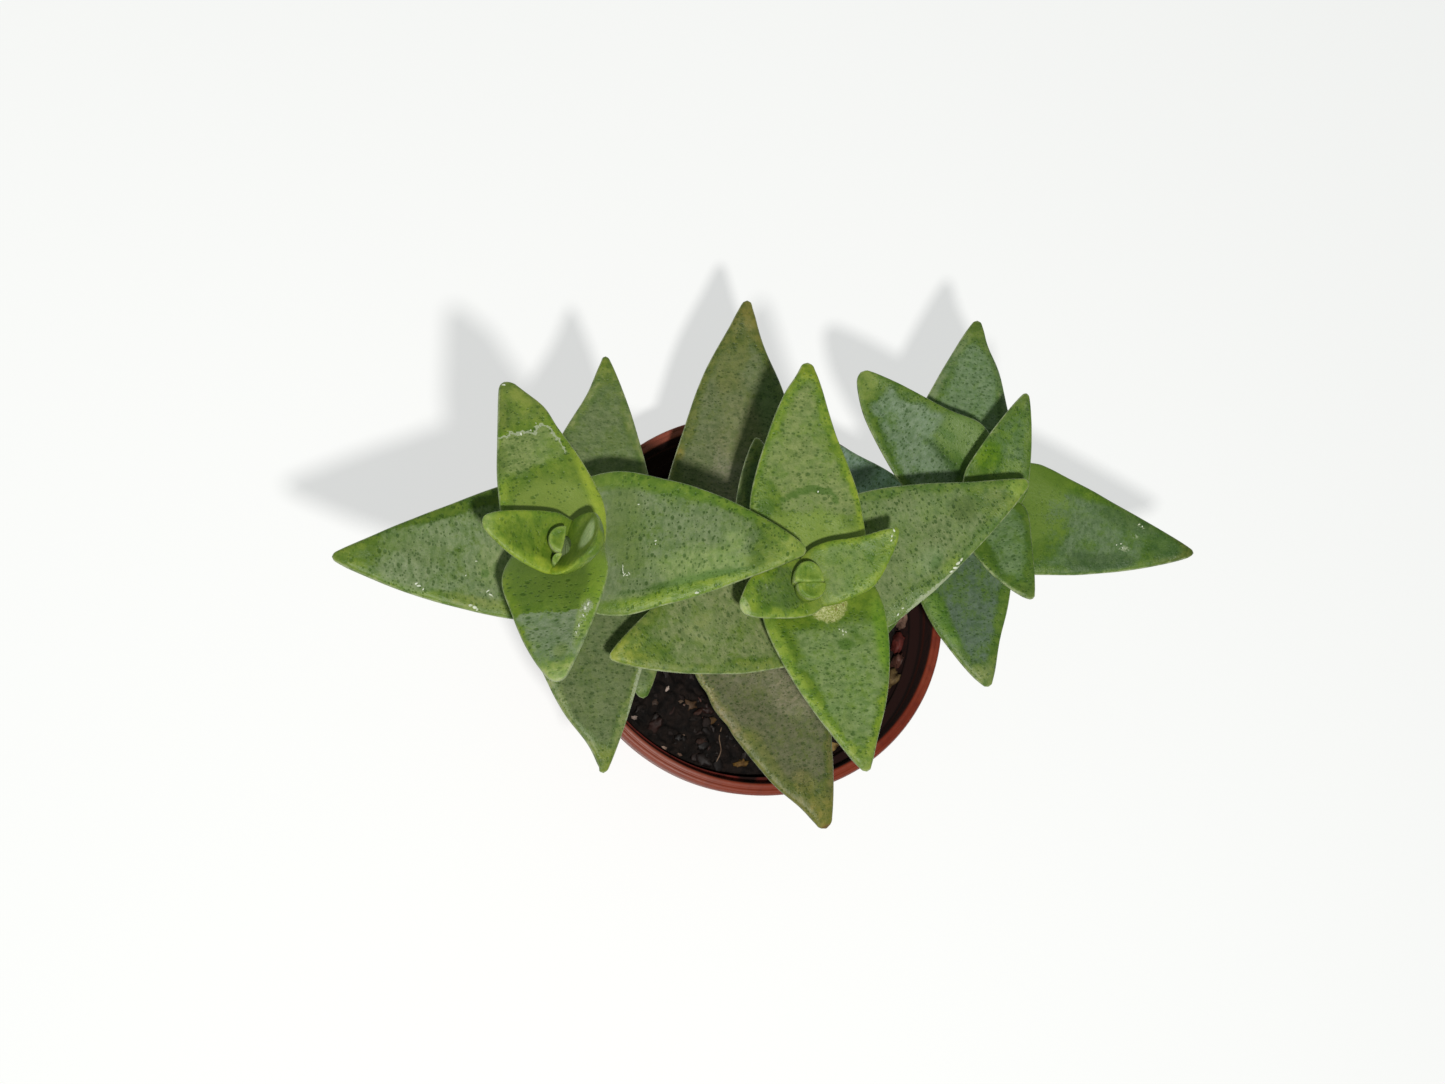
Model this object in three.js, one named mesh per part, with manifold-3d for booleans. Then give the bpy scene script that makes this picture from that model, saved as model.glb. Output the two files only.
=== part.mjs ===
// String of buttons (Crassula perforata) in a small plastic nursery pot.
//
// Millimetres, +Z up, with the origin at the centre of the flat underside of the pot.
// Three leafy stems stand in plain holes in the potting mix. Their leaves grow in opposite pairs,
// joined round the stem, each pair turned about a right angle from the one below it.

import * as THREE from 'three';
import { mergeVertices } from 'three/addons/utils/BufferGeometryUtils.js';
import Module from 'manifold-3d';

const wasm = await Module();
wasm.setup();

// ---------------------------------------------------------------- driving dimensions

const CLEARANCE = 0.3; // gap between pieces that touch

const POT_HEIGHT = 46;
const POT_SIDES = 48; // facets round the pot
const RIM_RADIUS = 27.5; // outside of the lip
const LIP_WIDTH = 1.7;
const COLLAR_HEIGHT = 4.5; // thicker band below the lip
const COLLAR_TAPER = 0.6; // how much narrower the collar is at its lower edge
const WALL = 1.1;
const BASE_RADIUS = 17;
const FLOOR = 1.4;
const LEDGE_WIDTH = 0.9; // step inside, where the collar meets the wall
const DRAIN_HOLES = 6;
const DRAIN_RADIUS = 2;
const DRAIN_RING = 10.5; // the middle of the base stays solid

const SOIL_LEVEL = POT_HEIGHT - 9;
const SOIL_SIDES = 48;
const SOIL_RINGS = 14;
const STEM_DEPTH = 12; // how deep each foot stands in the soil
const FOOT_LEAN = 0.8; // each foot is this much nearer the pot's axis than its place at the surface

const STEM_SIDES = 8;
const STEM_STEP = 3; // distance between the rings of a stem

const LEAF_SIDES = 10; // points round a leaf's section
const STATIONS = [0, 0.1, 0.22, 0.36, 0.5, 0.64, 0.77, 0.88, 0.96]; // rings from node to tip
const BUD_STATIONS = [0, 0.25, 0.5, 0.75, 0.93];
const WIDEST_AT = 0.2; // where a leaf is widest, as a share of its length
const WAIST = 0.86; // width at the stem, as a share of the widest
const TOP_SHARE = 0.4; // share of the thickness above the leaf's middle surface
const SPINE_STEPS = 48;

const COLOURS = {
  pot: 0x9c4534,
  soil: 0x2a1f1a,
  leaf: 0x7d9a5c,
  blueLeaf: 0x6f9482,
};

// ---------------------------------------------------------------- the plant, stem by stem

const degrees = THREE.MathUtils.degToRad;
const point = (x, y, z) => new THREE.Vector3(x, y, z);

// A place on a stem: across the pot, and its height above the soil.
const above = (x, y, height) => point(x, y, SOIL_LEVEL + height);

// Length and width in mm. Heading is the direction in plan and rise the angle above level, both in
// degrees at the node. Sweep and curl are how far they turn on the way to the tip, and roll tilts
// the leaf about its own length. Cup is how far the margins lift, as a share of the half width.
// Blunt is above 0 for a leaf with a broad end and below 0 for one that narrows evenly.
const leaf = (length, width, heading, rise, bends = {}) => (
  { length, width, heading, rise, sweep: 0, curl: 0, roll: 0, cup: 0.12, blunt: 0, ...bends }
);

// Two opposite leaves joined round the stem at one node.
const pair = (node, first, second) => ({ node, leaves: [first, second], joined: true });

// Two young leaves that still stand up separately round the growing tip.
const bud = (node, first, second) => ({ node, leaves: [first, second], joined: false });

const LEFT_STEM = {
  name: 'leafy_stem_left',
  colour: COLOURS.leaf,
  ground: above(-15, -1, 0),
  girth: [1.9, 1.1],
  pairs: [
    pair(above(-20, -3, 18), leaf(15, 9, 86, -3), leaf(14.5, 9, -76, -3, { sweep: -5 })),
    pair(above(-23.5, -4.5, 27.5), leaf(17, 11, 186, -4), leaf(8, 8, 2, -4)),
    pair(above(-28, -6, 39.5),
      leaf(25, 15.8, 82, 6, { sweep: 9, curl: 2, roll: 2, blunt: -0.4 }),
      leaf(24, 16.2, -84, -5, { sweep: 3, curl: 3, roll: -5, blunt: -0.3 })),
    pair(above(-30.8, -8.8, 53.5),
      leaf(24.6, 15.4, 194, 9, { sweep: -10, curl: 2, blunt: -0.3 }),
      leaf(24.5, 15.6, 5, 15, { sweep: -12, curl: -3, roll: 2, blunt: -0.1 })),
    pair(above(-32.8, -12, 63),
      leaf(17.6, 10.8, 109, 9, { sweep: 6, curl: -3, roll: 11, blunt: -0.1 }),
      leaf(15.6, 9.8, -98, 18, { sweep: 12, curl: 9, roll: 16 })),
    pair(above(-33, -13, 66.5),
      leaf(8.5, 6.4, 170, 22, { blunt: 0.5, cup: 0.2 }),
      leaf(6.5, 6.5, -25, 48, { curl: 34, blunt: 0.8, cup: 0.2 })),
    bud(above(-33.8, -13.5, 68), leaf(3.4, 2.6, 85, 62), leaf(2.8, 2.2, -95, 70)),
  ],
};

const CENTRE_STEM = {
  name: 'leafy_stem_centre',
  colour: COLOURS.leaf,
  ground: above(-9, 2, 0),
  girth: [2.1, 1.1],
  pairs: [
    pair(above(-8.5, 1, 11.5), leaf(11, 9, 170, -3), leaf(16, 10, -15, -3)),
    pair(above(-6.1, -1.1, 21.5),
      leaf(37, 20.6, 90, 8, { curl: 9, roll: -2, blunt: -0.2 }),
      leaf(34.2, 19.9, -73, -4, { sweep: 6, curl: 8, roll: -2, blunt: -0.1 })),
    pair(above(-5, -3.8, 30), leaf(12, 9, 202, 2), leaf(15, 9, 18, 8)),
    pair(above(-4, -6.3, 37), leaf(17.8, 9.4, 104, 14, { sweep: -8 }), leaf(13.9, 9, -76, 6)),
    pair(above(-2.4, -8.7, 45),
      leaf(25.7, 15.4, 207, 7, { sweep: -7, curl: -2, roll: -1 }),
      leaf(27.6, 16, 26, 14, { curl: 7, roll: 1, blunt: -0.2 })),
    pair(above(-4.7, -10.3, 52.5),
      leaf(23.9, 13, 99, 11, { sweep: -11, curl: 5, roll: -1 }),
      leaf(21.9, 13.7, -76, 10, { sweep: -3, curl: -3, roll: -1 })),
    pair(above(-5.8, -11.9, 56.5),
      leaf(8.5, 6.6, 204, 5, { blunt: 0.4 }),
      leaf(10.5, 6.6, 29, 22, { blunt: 0.4 })),
    bud(above(-6.3, -12.4, 57.8), leaf(2.9, 3.3, 75, 62), leaf(2.9, 3.3, -105, 66)),
  ],
};

const RIGHT_STEM = {
  name: 'leafy_stem_right',
  colour: COLOURS.blueLeaf,
  ground: above(19.5, 7.5, 0),
  girth: [1.9, 1],
  pairs: [
    pair(above(20, 7.2, 9), leaf(9.5, 7, 110, 2), leaf(14, 9, -105, 2)),
    pair(above(20, 6.1, 19),
      leaf(17.6, 10.3, 137, 9, { sweep: -5, curl: 3 }),
      leaf(14.7, 9.8, -42, 5)),
    pair(above(21.4, 7.7, 29),
      leaf(25.3, 15.5, 84, 14, { sweep: 2, curl: 6, roll: -4, blunt: -0.1 }),
      leaf(24, 13.6, -90, 1, { sweep: 17, curl: 1, roll: 9, blunt: 0.2 })),
    pair(above(22.8, 5.1, 37),
      leaf(23.5, 13, 144, 9, { sweep: -12, curl: 1, roll: -10, cup: 0.25, blunt: 0.2 }),
      leaf(25.8, 14.7, -17, 12, { sweep: 4, curl: 9, roll: 5, blunt: -0.3 })),
    pair(above(19.8, 3.2, 44),
      leaf(14.2, 8, 72, 21, { sweep: 2, curl: 2, cup: 0.25, blunt: -0.2 }),
      leaf(13.5, 8.9, -84, 14, { sweep: 18, curl: -1, roll: 7, cup: 0.2, blunt: 0.1 })),
    bud(above(19.7, 3.2, 45.8), leaf(3.5, 3.3, 170, 40), leaf(3.3, 3.3, -10, 50)),
  ],
};

const STEMS = [LEFT_STEM, CENTRE_STEM, RIGHT_STEM];

// ---------------------------------------------------------------- solids from rings of points

// A closed surface through a row of rings that all have the same number of points, with a single
// point at each end. The rings run clockwise when seen from the end of the row.
function loft(start, rings, end) {
  const sides = rings[0].length;
  const points = [start, ...rings.flat(), end];
  const at = (ring, side) => 1 + ring * sides + (side % sides);
  const last = points.length - 1;
  const faces = [];
  for (let side = 0; side < sides; side += 1) {
    faces.push(0, at(0, side), at(0, side + 1));
    for (let ring = 0; ring < rings.length - 1; ring += 1) {
      faces.push(at(ring, side), at(ring + 1, side), at(ring, side + 1));
      faces.push(at(ring, side + 1), at(ring + 1, side), at(ring + 1, side + 1));
    }
    faces.push(last, at(rings.length - 1, side + 1), at(rings.length - 1, side));
  }
  const geometry = new THREE.BufferGeometry().setFromPoints(points);
  geometry.setIndex(faces);
  return toSolid(geometry);
}

// A three.js geometry as a manifold-3d solid, without the triangles that have no area.
function toSolid(geometry) {
  const bare = geometry.clone();
  bare.deleteAttribute('normal');
  bare.deleteAttribute('uv');
  const merged = mergeVertices(bare, 1e-4);
  const faces = [];
  for (let first = 0; first < merged.index.count; first += 3) {
    const [a, b, c] = merged.index.array.slice(first, first + 3);
    if (a !== b && b !== c && c !== a) faces.push(a, b, c);
  }
  return new wasm.Manifold(new wasm.Mesh({
    numProp: 3,
    vertProperties: Float32Array.from(merged.getAttribute('position').array),
    triVerts: Uint32Array.from(faces),
  }));
}

function toMesh(name, solid, colour, roughness) {
  const { vertProperties, triVerts } = solid.getMesh();
  const geometry = new THREE.BufferGeometry();
  geometry.setAttribute('position', new THREE.BufferAttribute(vertProperties, 3));
  geometry.setIndex(new THREE.BufferAttribute(triVerts, 1));
  geometry.computeVertexNormals();
  const material = new THREE.MeshStandardMaterial({ color: colour, roughness, metalness: 0 });
  const mesh = new THREE.Mesh(geometry, material);
  mesh.name = name;
  return mesh;
}

const join = (solids) => solids.reduce((whole, solid) => whole.add(solid));

// ---------------------------------------------------------------- leaves

// Half width of a leaf as a share of its widest, from the node (0) to the tip (1).
function outline({ blunt }, along) {
  const beyond = Math.max(0, (along - WIDEST_AT) / (1 - WIDEST_AT));
  const near = Math.min(1, along / WIDEST_AT);
  const waist = WAIST + (1 - WAIST) * Math.sin((near * Math.PI) / 2);
  const taper = (1 - beyond ** (1.5 + blunt)) ** (0.85 - 0.2 * blunt);
  return waist * (0.94 * taper + 0.06 * Math.sqrt(1 - beyond));
}

// Thickness of a fleshy leaf, which thins towards its rounded tip.
function thickness(blade, along) {
  const full = 1.1 + 0.06 * blade.length;
  const roundTip = Math.sqrt(Math.min(1, (1 - along) / 0.06));
  return full * (0.55 + 0.45 * outline(blade, along)) * roundTip;
}

// Directions at one place along a leaf: onwards, across and up.
function axes({ heading, rise, sweep, curl, roll }, along) {
  const turn = degrees(heading + sweep * along);
  const pitch = degrees(rise + curl * along);
  const level = point(-Math.sin(turn), Math.cos(turn), 0);
  const onwards = point(
    Math.cos(pitch) * Math.cos(turn),
    Math.cos(pitch) * Math.sin(turn),
    Math.sin(pitch),
  );
  const across = level.applyAxisAngle(onwards, degrees(roll));
  const up = new THREE.Vector3().crossVectors(onwards, across);
  return { onwards, across, up };
}

// The middle of a leaf at one place along it: the axes' onward direction, added up from the node.
function middle(blade, node, along) {
  const place = node.clone();
  const step = along / SPINE_STEPS;
  for (let count = 0; count < SPINE_STEPS; count += 1) {
    const { onwards } = axes(blade, (count + 0.5) * step);
    place.addScaledVector(onwards, step * blade.length);
  }
  return place;
}

// The section of a leaf: a lens with blunt margins, flatter above than below, and slightly cupped.
function section(blade, node, along) {
  const { across, up } = axes(blade, along);
  const centre = middle(blade, node, along);
  const halfWidth = (blade.width / 2) * outline(blade, along);
  const depth = thickness(blade, along);
  const ring = [];
  for (let side = 0; side < LEAF_SIDES; side += 1) {
    const angle = (side / LEAF_SIDES) * 2 * Math.PI;
    const sideways = Math.cos(angle);
    const share = Math.sin(angle) > 0 ? TOP_SHARE : TOP_SHARE - 1;
    const margin = Math.sqrt(Math.max(0, 1 - Math.abs(sideways) ** 3));
    const lift = blade.cup * halfWidth * sideways ** 2 + depth * share * margin;
    ring.push(centre.clone()
      .addScaledVector(across, halfWidth * sideways)
      .addScaledVector(up, lift));
  }
  return ring;
}

// The same ring, started from the other margin and run the other way round.
function mirrored(ring) {
  const half = LEAF_SIDES / 2;
  return ring.map((_, side) => ring[(half - side + LEAF_SIDES) % LEAF_SIDES]);
}

// Both leaves of a pair in one piece, from tip to tip through the node.
function joinedPair({ node, leaves: [first, second] }) {
  const firstRings = STATIONS.map((along) => section(first, node, along));
  const secondRings = STATIONS.map((along) => mirrored(section(second, node, along)));
  const shared = firstRings[0].map((place, side) => place.clone().lerp(secondRings[0][side], 0.5));
  const rings = [...firstRings.slice(1).reverse(), shared, ...secondRings.slice(1)];
  return loft(middle(first, node, 1), rings, middle(second, node, 1));
}

function singleLeaf(blade, node) {
  const rings = BUD_STATIONS.map((along) => section(blade, node, along)).reverse();
  return loft(middle(blade, node, 1), rings, node);
}

function leafPair(growth) {
  if (growth.joined) return [joinedPair(growth)];
  return growth.leaves.map((blade) => singleLeaf(blade, growth.node));
}

// ---------------------------------------------------------------- stems

// The lower end of a stem, in line with its hole in the soil.
function footOf({ ground }, depth) {
  return point(ground.x * FOOT_LEAN, ground.y * FOOT_LEAN, ground.z - depth);
}

// Where a stem runs: straight up through the soil, and then through its nodes.
function stemPath(stem) {
  const foot = footOf(stem, STEM_DEPTH);
  const buried = foot.clone().lerp(stem.ground, 0.5);
  const nodes = stem.pairs.map(({ node }) => node);
  return new THREE.CatmullRomCurve3([foot, buried, stem.ground, ...nodes], false, 'centripetal');
}

// A round rod along a path. Its radius runs evenly from the first girth to the second.
function rod(path, [thick, thin], sides, step) {
  const count = Math.ceil(path.getLength() / step);
  const rings = [];
  for (let index = 0; index <= count; index += 1) {
    const along = index / count;
    const centre = path.getPointAt(along);
    const tangent = path.getTangentAt(along);
    const right = new THREE.Vector3().crossVectors(point(0, 1, 0), tangent).normalize();
    const front = new THREE.Vector3().crossVectors(tangent, right);
    const radius = THREE.MathUtils.lerp(thick, thin, along);
    rings.push(Array.from({ length: sides }, (_, side) => {
      const angle = (-side / sides) * 2 * Math.PI;
      return centre.clone()
        .addScaledVector(right, radius * Math.cos(angle))
        .addScaledVector(front, radius * Math.sin(angle));
    }));
  }
  return loft(path.getPointAt(0), rings, path.getPointAt(1));
}

function leafyStem(stem) {
  const stalk = rod(stemPath(stem), stem.girth, STEM_SIDES, STEM_STEP);
  const leaves = stem.pairs.flatMap(leafPair);
  return toMesh(stem.name, join([stalk, ...leaves]), stem.colour, 0.55);
}

// The plain hole that a stem's foot stands in, a little wider and deeper than the foot.
function stemHole(stem) {
  const bottom = footOf(stem, STEM_DEPTH + CLEARANCE);
  const top = stem.ground.clone().lerp(bottom, -0.3);
  const wide = stem.girth[0] + 1.3 * CLEARANCE;
  return rod(new THREE.LineCurve3(bottom, top), [wide, wide], 2 * STEM_SIDES, 2 * STEM_DEPTH);
}

// ---------------------------------------------------------------- pot and soil

// Radius of the pot's outer wall, below the collar, at a height.
function wallRadius(height) {
  const top = RIM_RADIUS - LIP_WIDTH - LEDGE_WIDTH + WALL;
  const share = height / (POT_HEIGHT - COLLAR_HEIGHT);
  return THREE.MathUtils.lerp(BASE_RADIUS, top, share);
}

function pot() {
  const shoulder = POT_HEIGHT - COLLAR_HEIGHT;
  const mouth = RIM_RADIUS - LIP_WIDTH;
  const profile = [
    [0, 0],
    [BASE_RADIUS - 0.8, 0],
    [BASE_RADIUS, 0.8],
    [wallRadius(shoulder - 0.6), shoulder - 0.6],
    [RIM_RADIUS - COLLAR_TAPER, shoulder],
    [RIM_RADIUS, POT_HEIGHT - 0.7],
    [RIM_RADIUS - 0.35, POT_HEIGHT - 0.1],
    [RIM_RADIUS - 0.7, POT_HEIGHT],
    [mouth + 0.45, POT_HEIGHT],
    [mouth, POT_HEIGHT - 0.5],
    [mouth - 0.2, shoulder - 0.4],
    [mouth - LEDGE_WIDTH, shoulder - 0.8],
    [wallRadius(FLOOR) - WALL, FLOOR],
    [0, FLOOR],
  ];
  const points = profile.map(([radius, height]) => new THREE.Vector2(radius, height));
  const shell = toSolid(new THREE.LatheGeometry(points, POT_SIDES).rotateX(Math.PI / 2));
  const drill = new THREE.CylinderGeometry(DRAIN_RADIUS, DRAIN_RADIUS, 4 * FLOOR, 16);
  drill.rotateX(Math.PI / 2);
  let drained = shell;
  for (let hole = 0; hole < DRAIN_HOLES; hole += 1) {
    const angle = (hole / DRAIN_HOLES) * 2 * Math.PI;
    const place = [DRAIN_RING * Math.cos(angle), DRAIN_RING * Math.sin(angle), 0];
    drained = drained.subtract(toSolid(drill).translate(place));
  }
  return toMesh('pot', drained, COLOURS.pot, 0.5);
}

// Height of the lumps of bark and peat above the soil level: two crossed waves and sharper crests.
function relief(x, y) {
  const wave = Math.sin(0.55 * x + 1.3) * Math.cos(0.47 * y - 0.4);
  const lumps = Math.sin(1.15 * x - 0.8 * y) * Math.sin(0.9 * x + 1.25 * y + 2);
  return 0.5 * wave + 0.7 * Math.abs(lumps);
}

function soil() {
  const outer = wallRadius(SOIL_LEVEL) - WALL - CLEARANCE;
  const inner = wallRadius(FLOOR) - WALL - CLEARANCE;
  const ring = (radius, height) => Array.from({ length: SOIL_SIDES }, (_, side) => {
    const angle = (-side / SOIL_SIDES) * 2 * Math.PI;
    const x = radius * Math.cos(angle);
    const y = radius * Math.sin(angle);
    return point(x, y, height(x, y));
  });
  const surface = (x, y) => SOIL_LEVEL + relief(x, y);
  const rings = [];
  for (let count = SOIL_RINGS; count >= 1; count -= 1) {
    rings.push(ring(((outer - 0.5) * count) / SOIL_RINGS, surface));
  }
  rings.unshift(ring(outer, () => SOIL_LEVEL - 1));
  rings.unshift(ring(inner, () => FLOOR + CLEARANCE));
  const body = loft(point(0, 0, FLOOR + CLEARANCE), rings, point(0, 0, surface(0, 0)));
  const dug = STEMS.map(stemHole).reduce((left, hole) => left.subtract(hole), body);
  return toMesh('soil', dug, COLOURS.soil, 0.95);
}

// ---------------------------------------------------------------- the whole object

const model = new THREE.Group();
model.add(pot(), soil(), ...STEMS.map(leafyStem));

export default model;
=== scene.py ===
"""String of buttons (Crassula perforata) in a small plastic nursery pot.

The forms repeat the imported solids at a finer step, in millimetres, and are turned into metres
when a mesh is made. Everything that varies comes from formulas or from a seeded generator.
"""

import bpy
import numpy as np
from mathutils import Matrix, Vector


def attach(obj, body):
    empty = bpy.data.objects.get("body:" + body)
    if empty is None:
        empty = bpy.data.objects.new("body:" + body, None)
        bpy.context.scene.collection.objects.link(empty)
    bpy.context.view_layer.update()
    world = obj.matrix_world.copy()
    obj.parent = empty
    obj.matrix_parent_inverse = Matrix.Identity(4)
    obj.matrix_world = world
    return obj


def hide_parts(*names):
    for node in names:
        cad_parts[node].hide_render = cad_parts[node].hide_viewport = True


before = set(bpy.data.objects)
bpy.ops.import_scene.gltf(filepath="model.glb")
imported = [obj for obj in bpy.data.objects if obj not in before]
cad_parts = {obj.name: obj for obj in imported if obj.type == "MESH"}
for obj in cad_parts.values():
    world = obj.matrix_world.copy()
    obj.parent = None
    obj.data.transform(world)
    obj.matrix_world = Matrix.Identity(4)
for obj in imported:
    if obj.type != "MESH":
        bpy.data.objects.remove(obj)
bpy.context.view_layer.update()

MM = 0.001
FULL_TURN = 2 * np.pi

# ------------------------------------------------------------------ the solids' dimensions, mm

POT_HEIGHT = 46.0
RIM_RADIUS = 27.5
LIP_WIDTH = 1.7
COLLAR_HEIGHT = 4.5
COLLAR_TAPER = 0.6
WALL = 1.1
BASE_RADIUS = 17.0
FLOOR_THICKNESS = 1.4
LEDGE_WIDTH = 0.9
DRAIN_HOLES = 6
DRAIN_RADIUS = 2.0
DRAIN_RING = 10.5
CLEARANCE = 0.3
SOIL_LEVEL = POT_HEIGHT - 9
STEM_DEPTH = 12.0

# ------------------------------------------------------------------ how the forms run

# the pot, in mm: its bead and its rounded corners, how near its axis the rings end, the ledge's
# line
BEAD = 0.6
CORNER = 0.3
AXIS_GAP = 0.4
LEDGE_LINE = POT_HEIGHT - COLLAR_HEIGHT - 0.8

# loose bits, in mm: how far they stay from the wall and the stems, and how thick the thin ones are
EDGE_GAP = 1.2
TRUNK_GAP = 3.2
ROOT_RADIUS = 0.09
FLECK_HEIGHT = 0.09

# a leaf's outline, in shares of its length and width
WIDEST_AT = 0.2
WAIST = 0.86
TAPER = 1.5
TAPER_FALL = 0.85
ROUND_END = 0.06
TIP_LENGTHS = 1.3
RIPPLE = 0.03
JOIN_REACH = 0.14
LAST_RING = 0.9999

# its thickness in mm, the gain for each mm of its length, and how the thickness runs out
THICKNESS = 1.1
THICKNESS_GAIN = 0.06
EVEN_THICKNESS = 0.55
TIP_THINNING = 0.06
TOP_SHARE = 0.4

# its low relief: mm, and its share on the underside
RIPPLE_LENGTH = 3.1
SWELL = 0.2
SWELL_LENGTH = 2.6
SWELL_WIDTH = 2.2
FINE_SWELL = 1.1
SWELL_BELOW = 0.6

# the skin's front value where a leaf has no front: far on the side that keeps its bloom
NO_FRONT = -9

# buds: the middle of a half disc and the bulge of its flat side, in shares of its depth
BUTTON_HEART = 0.42
BUTTON_BULGE = 0.1

# stems: how near the pot's axis the feet stand, mm from ring to ring and around a node, shares of
# the radius, the height where the bark is green, and a distance from the rim that shows no line
FOOT_LEAN = 0.8
STEM_STEP = 0.35
NODE_REACH = 1.3
NODE_SWELL = 0.1
SCAR_DEPTH = 0.05
BARK_DEPTH = 0.07
POINTED_FOOT = 0.4
GREEN_HEIGHT = 34
FAR_FROM_RIM = 5

# steps along, and sides around, of the meshes
FINE_GRID = (84, 56)
PLAIN_GRID = (30, 28)
LINE_STEPS = 480
BUTTON_SIDES = 48
STEM_POINTS = 24
STEM_SIDES = 28
CORNER_STEPS = 5
POT_SIDES = 240
DRAIN_SIDES = 40
SOIL_SIDES = 360
SOIL_RINGS = 110
HOLE_SIDES = 32
CRUMB_SIDES = 12
ROOT_POINTS = 12
ROOT_SIDES = 8
FLECK_SIDES = 8
FLECK_ROWS = (0.12, 0.3, 0.5, 0.7, 0.88)

# a bud's leaf from below to its top: the rings' share of the half disc and their height
BUTTON_RINGS = ((0.5, 0.0), (0.8, 0.3), (0.95, 0.6), (1.0, 0.8), (0.985, 0.9), (0.93, 0.97),
                (0.85, 1.0), (0.7, 1.0), (0.5, 0.98), (0.3, 0.97), (0.1, 0.96), (0.01, 0.96))

# the peat's grain: how high in mm, how wide in mm, its shift in x and y, and its seed
SOIL_GRAIN = ((0.9, 1.6, 0, 0, 21), (0.7, 0.75, 3, 0, 22), (0.35, 0.35, 0, 5, 23))

# ------------------------------------------------------------------ light and camera

LIGHT_PLACE = Vector((-33.2, -71.5, 233.0)) * MM
LIGHT_RADIUS = 3.5 * MM
LIGHT_POWER = 33.0
LIGHT_COLOUR = (1.0, 0.985, 0.95)
SKY_COLOUR = (0.88, 1.04, 0.94, 1.0)
SKY_STRENGTH = 0.24
FLOOR_REACH = 4000.0 * MM
CAMERA_PLACE = Vector((-45.87, -54.29, 233.38)) * MM
CAMERA_AIM = Vector((0.2027, 0.3078, -0.9296)).normalized()
CAMERA_RIGHT = CAMERA_AIM.cross(Vector((-0.0656, 0.9515, 0.3007))).normalized()
CAMERA_UP = CAMERA_RIGHT.cross(CAMERA_AIM).normalized()
CAMERA_LENS = 35.68
SENSOR_WIDTH = 36.0
PICTURE_WIDTH = 1445
PICTURE_HEIGHT = 1084

# ------------------------------------------------------------------ colours, 0 to 255 as displayed

LOOKS = {
    "young": dict(skin=(92, 116, 36), edge=(116, 138, 46), base=(114, 134, 50), tip=(110, 130, 52),
                  powder=(118, 133, 86), bloom=(0.3, 0.85, 1.2, 0.8)),
    "grey": dict(skin=(88, 110, 40), edge=(100, 123, 44), base=(100, 118, 60), tip=(108, 126, 52),
                 powder=(116, 130, 90), bloom=(0.0, 0.8, 1.1, 0.9)),
    "old": dict(skin=(84, 100, 46), edge=(114, 126, 80), base=(84, 100, 56), tip=(108, 122, 54),
                powder=(102, 115, 78), bloom=(0.0, 0.86, 0.8, 0.9)),
    "olive": dict(skin=(86, 96, 42), edge=(94, 102, 52), base=(88, 94, 56), tip=(110, 107, 54),
                  powder=(99, 107, 74), bloom=(0.0, 0.84, 1.2, 0.95)),
    "blue": dict(skin=(76, 102, 34), edge=(84, 108, 42), base=(78, 104, 32), tip=(92, 110, 50),
                 powder=(94, 115, 84), bloom=(0.1, 0.88, 1.2, 0.9)),
}
YELLOW = (142, 159, 54)
PALE = (168, 178, 128)
WHITE = (226, 230, 214)
TAN = (150, 142, 84)
CREAM = (206, 208, 152)
BARK_BELOW = (74, 60, 40)
BARK_ABOVE = (92, 112, 60)

# what a leaf is when nothing else is said of it
PLAIN = dict(fine=True, dots=1.0, sweep=0.0, curl=0.0, roll=0.0, cup=0.12, blunt=0.0, end=0.3,
             line=1.0, under=(112, 128, 88), nips=(), patches=(), front=None,
             shade=(), bare=(), calm=(), frost=(), scar=(), lump=())
BUD = dict(skin=(110, 134, 50), edge=(132, 152, 74), bloom=(0, 0, 9, 0), dots=0.4,
           under=(96, 120, 50))


def leaf(length, width, heading, rise, look="young", **own):
    """One leaf, as in the solids: mm and degrees. The rest says how its skin looks.

    End is the radius of the tip. A nip is a side (1 left, -1 right), the place along, its
    reach and how deep the margin falls in there, in mm. Colours are the look's own unless they
    are given, and so is bloom: from and to, as shares of the length, how far it stays from the
    margin, and how much powder lies there. Line is the share of the margin's pale line, dots
    that of the dark dots, and under is the underside's colour.

    A patch is a colour or the name of one of the leaf's own, and then a spot: its place along
    and across, its reach each way and its strength. Some patches are painted light and shade.
    The other groups are spots too: shade darkens, for bruises and marks and as painted shade in
    grooves and folds, bare has no bloom, calm is even, frost and scar are pale, and a lump rises
    by its strength in mm. A front is a sharp border of the bloom with a pale crest: its place
    along, 1 where the bloom ends there and -1 where it starts, the side (1 left, -1 right, 0 none)
    on which it follows the margin, how far in, and its strength.
    """
    size = dict(length=length, width=width, heading=heading, rise=rise)
    return {**PLAIN, **LOOKS[look], **size, **own}


def hidden(*sizes, look="old", **own):
    """A leaf that the upper leaves cover."""
    return leaf(*sizes, look=look, fine=False, **own)


def half_disc(x, y, low, high, width, depth, heading, **own):
    """A bud's leaf seen end on: its flat side's middle, its two heights and its way out."""
    size = dict(place=(x, y), low=low, high=high, width=width, depth=depth, heading=heading)
    return {**PLAIN, **LOOKS["young"], **BUD, **size, **own}


def above(x, y, height):
    """A place on a stem, by its height above the soil."""
    return np.array([x, y, SOIL_LEVEL + height])


def pair(node, first, second):
    return dict(node=node, leaves=(first, second), joined=True)


def bud(node, first, second):
    return dict(node=node, leaves=(first, second), joined=False)


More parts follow.
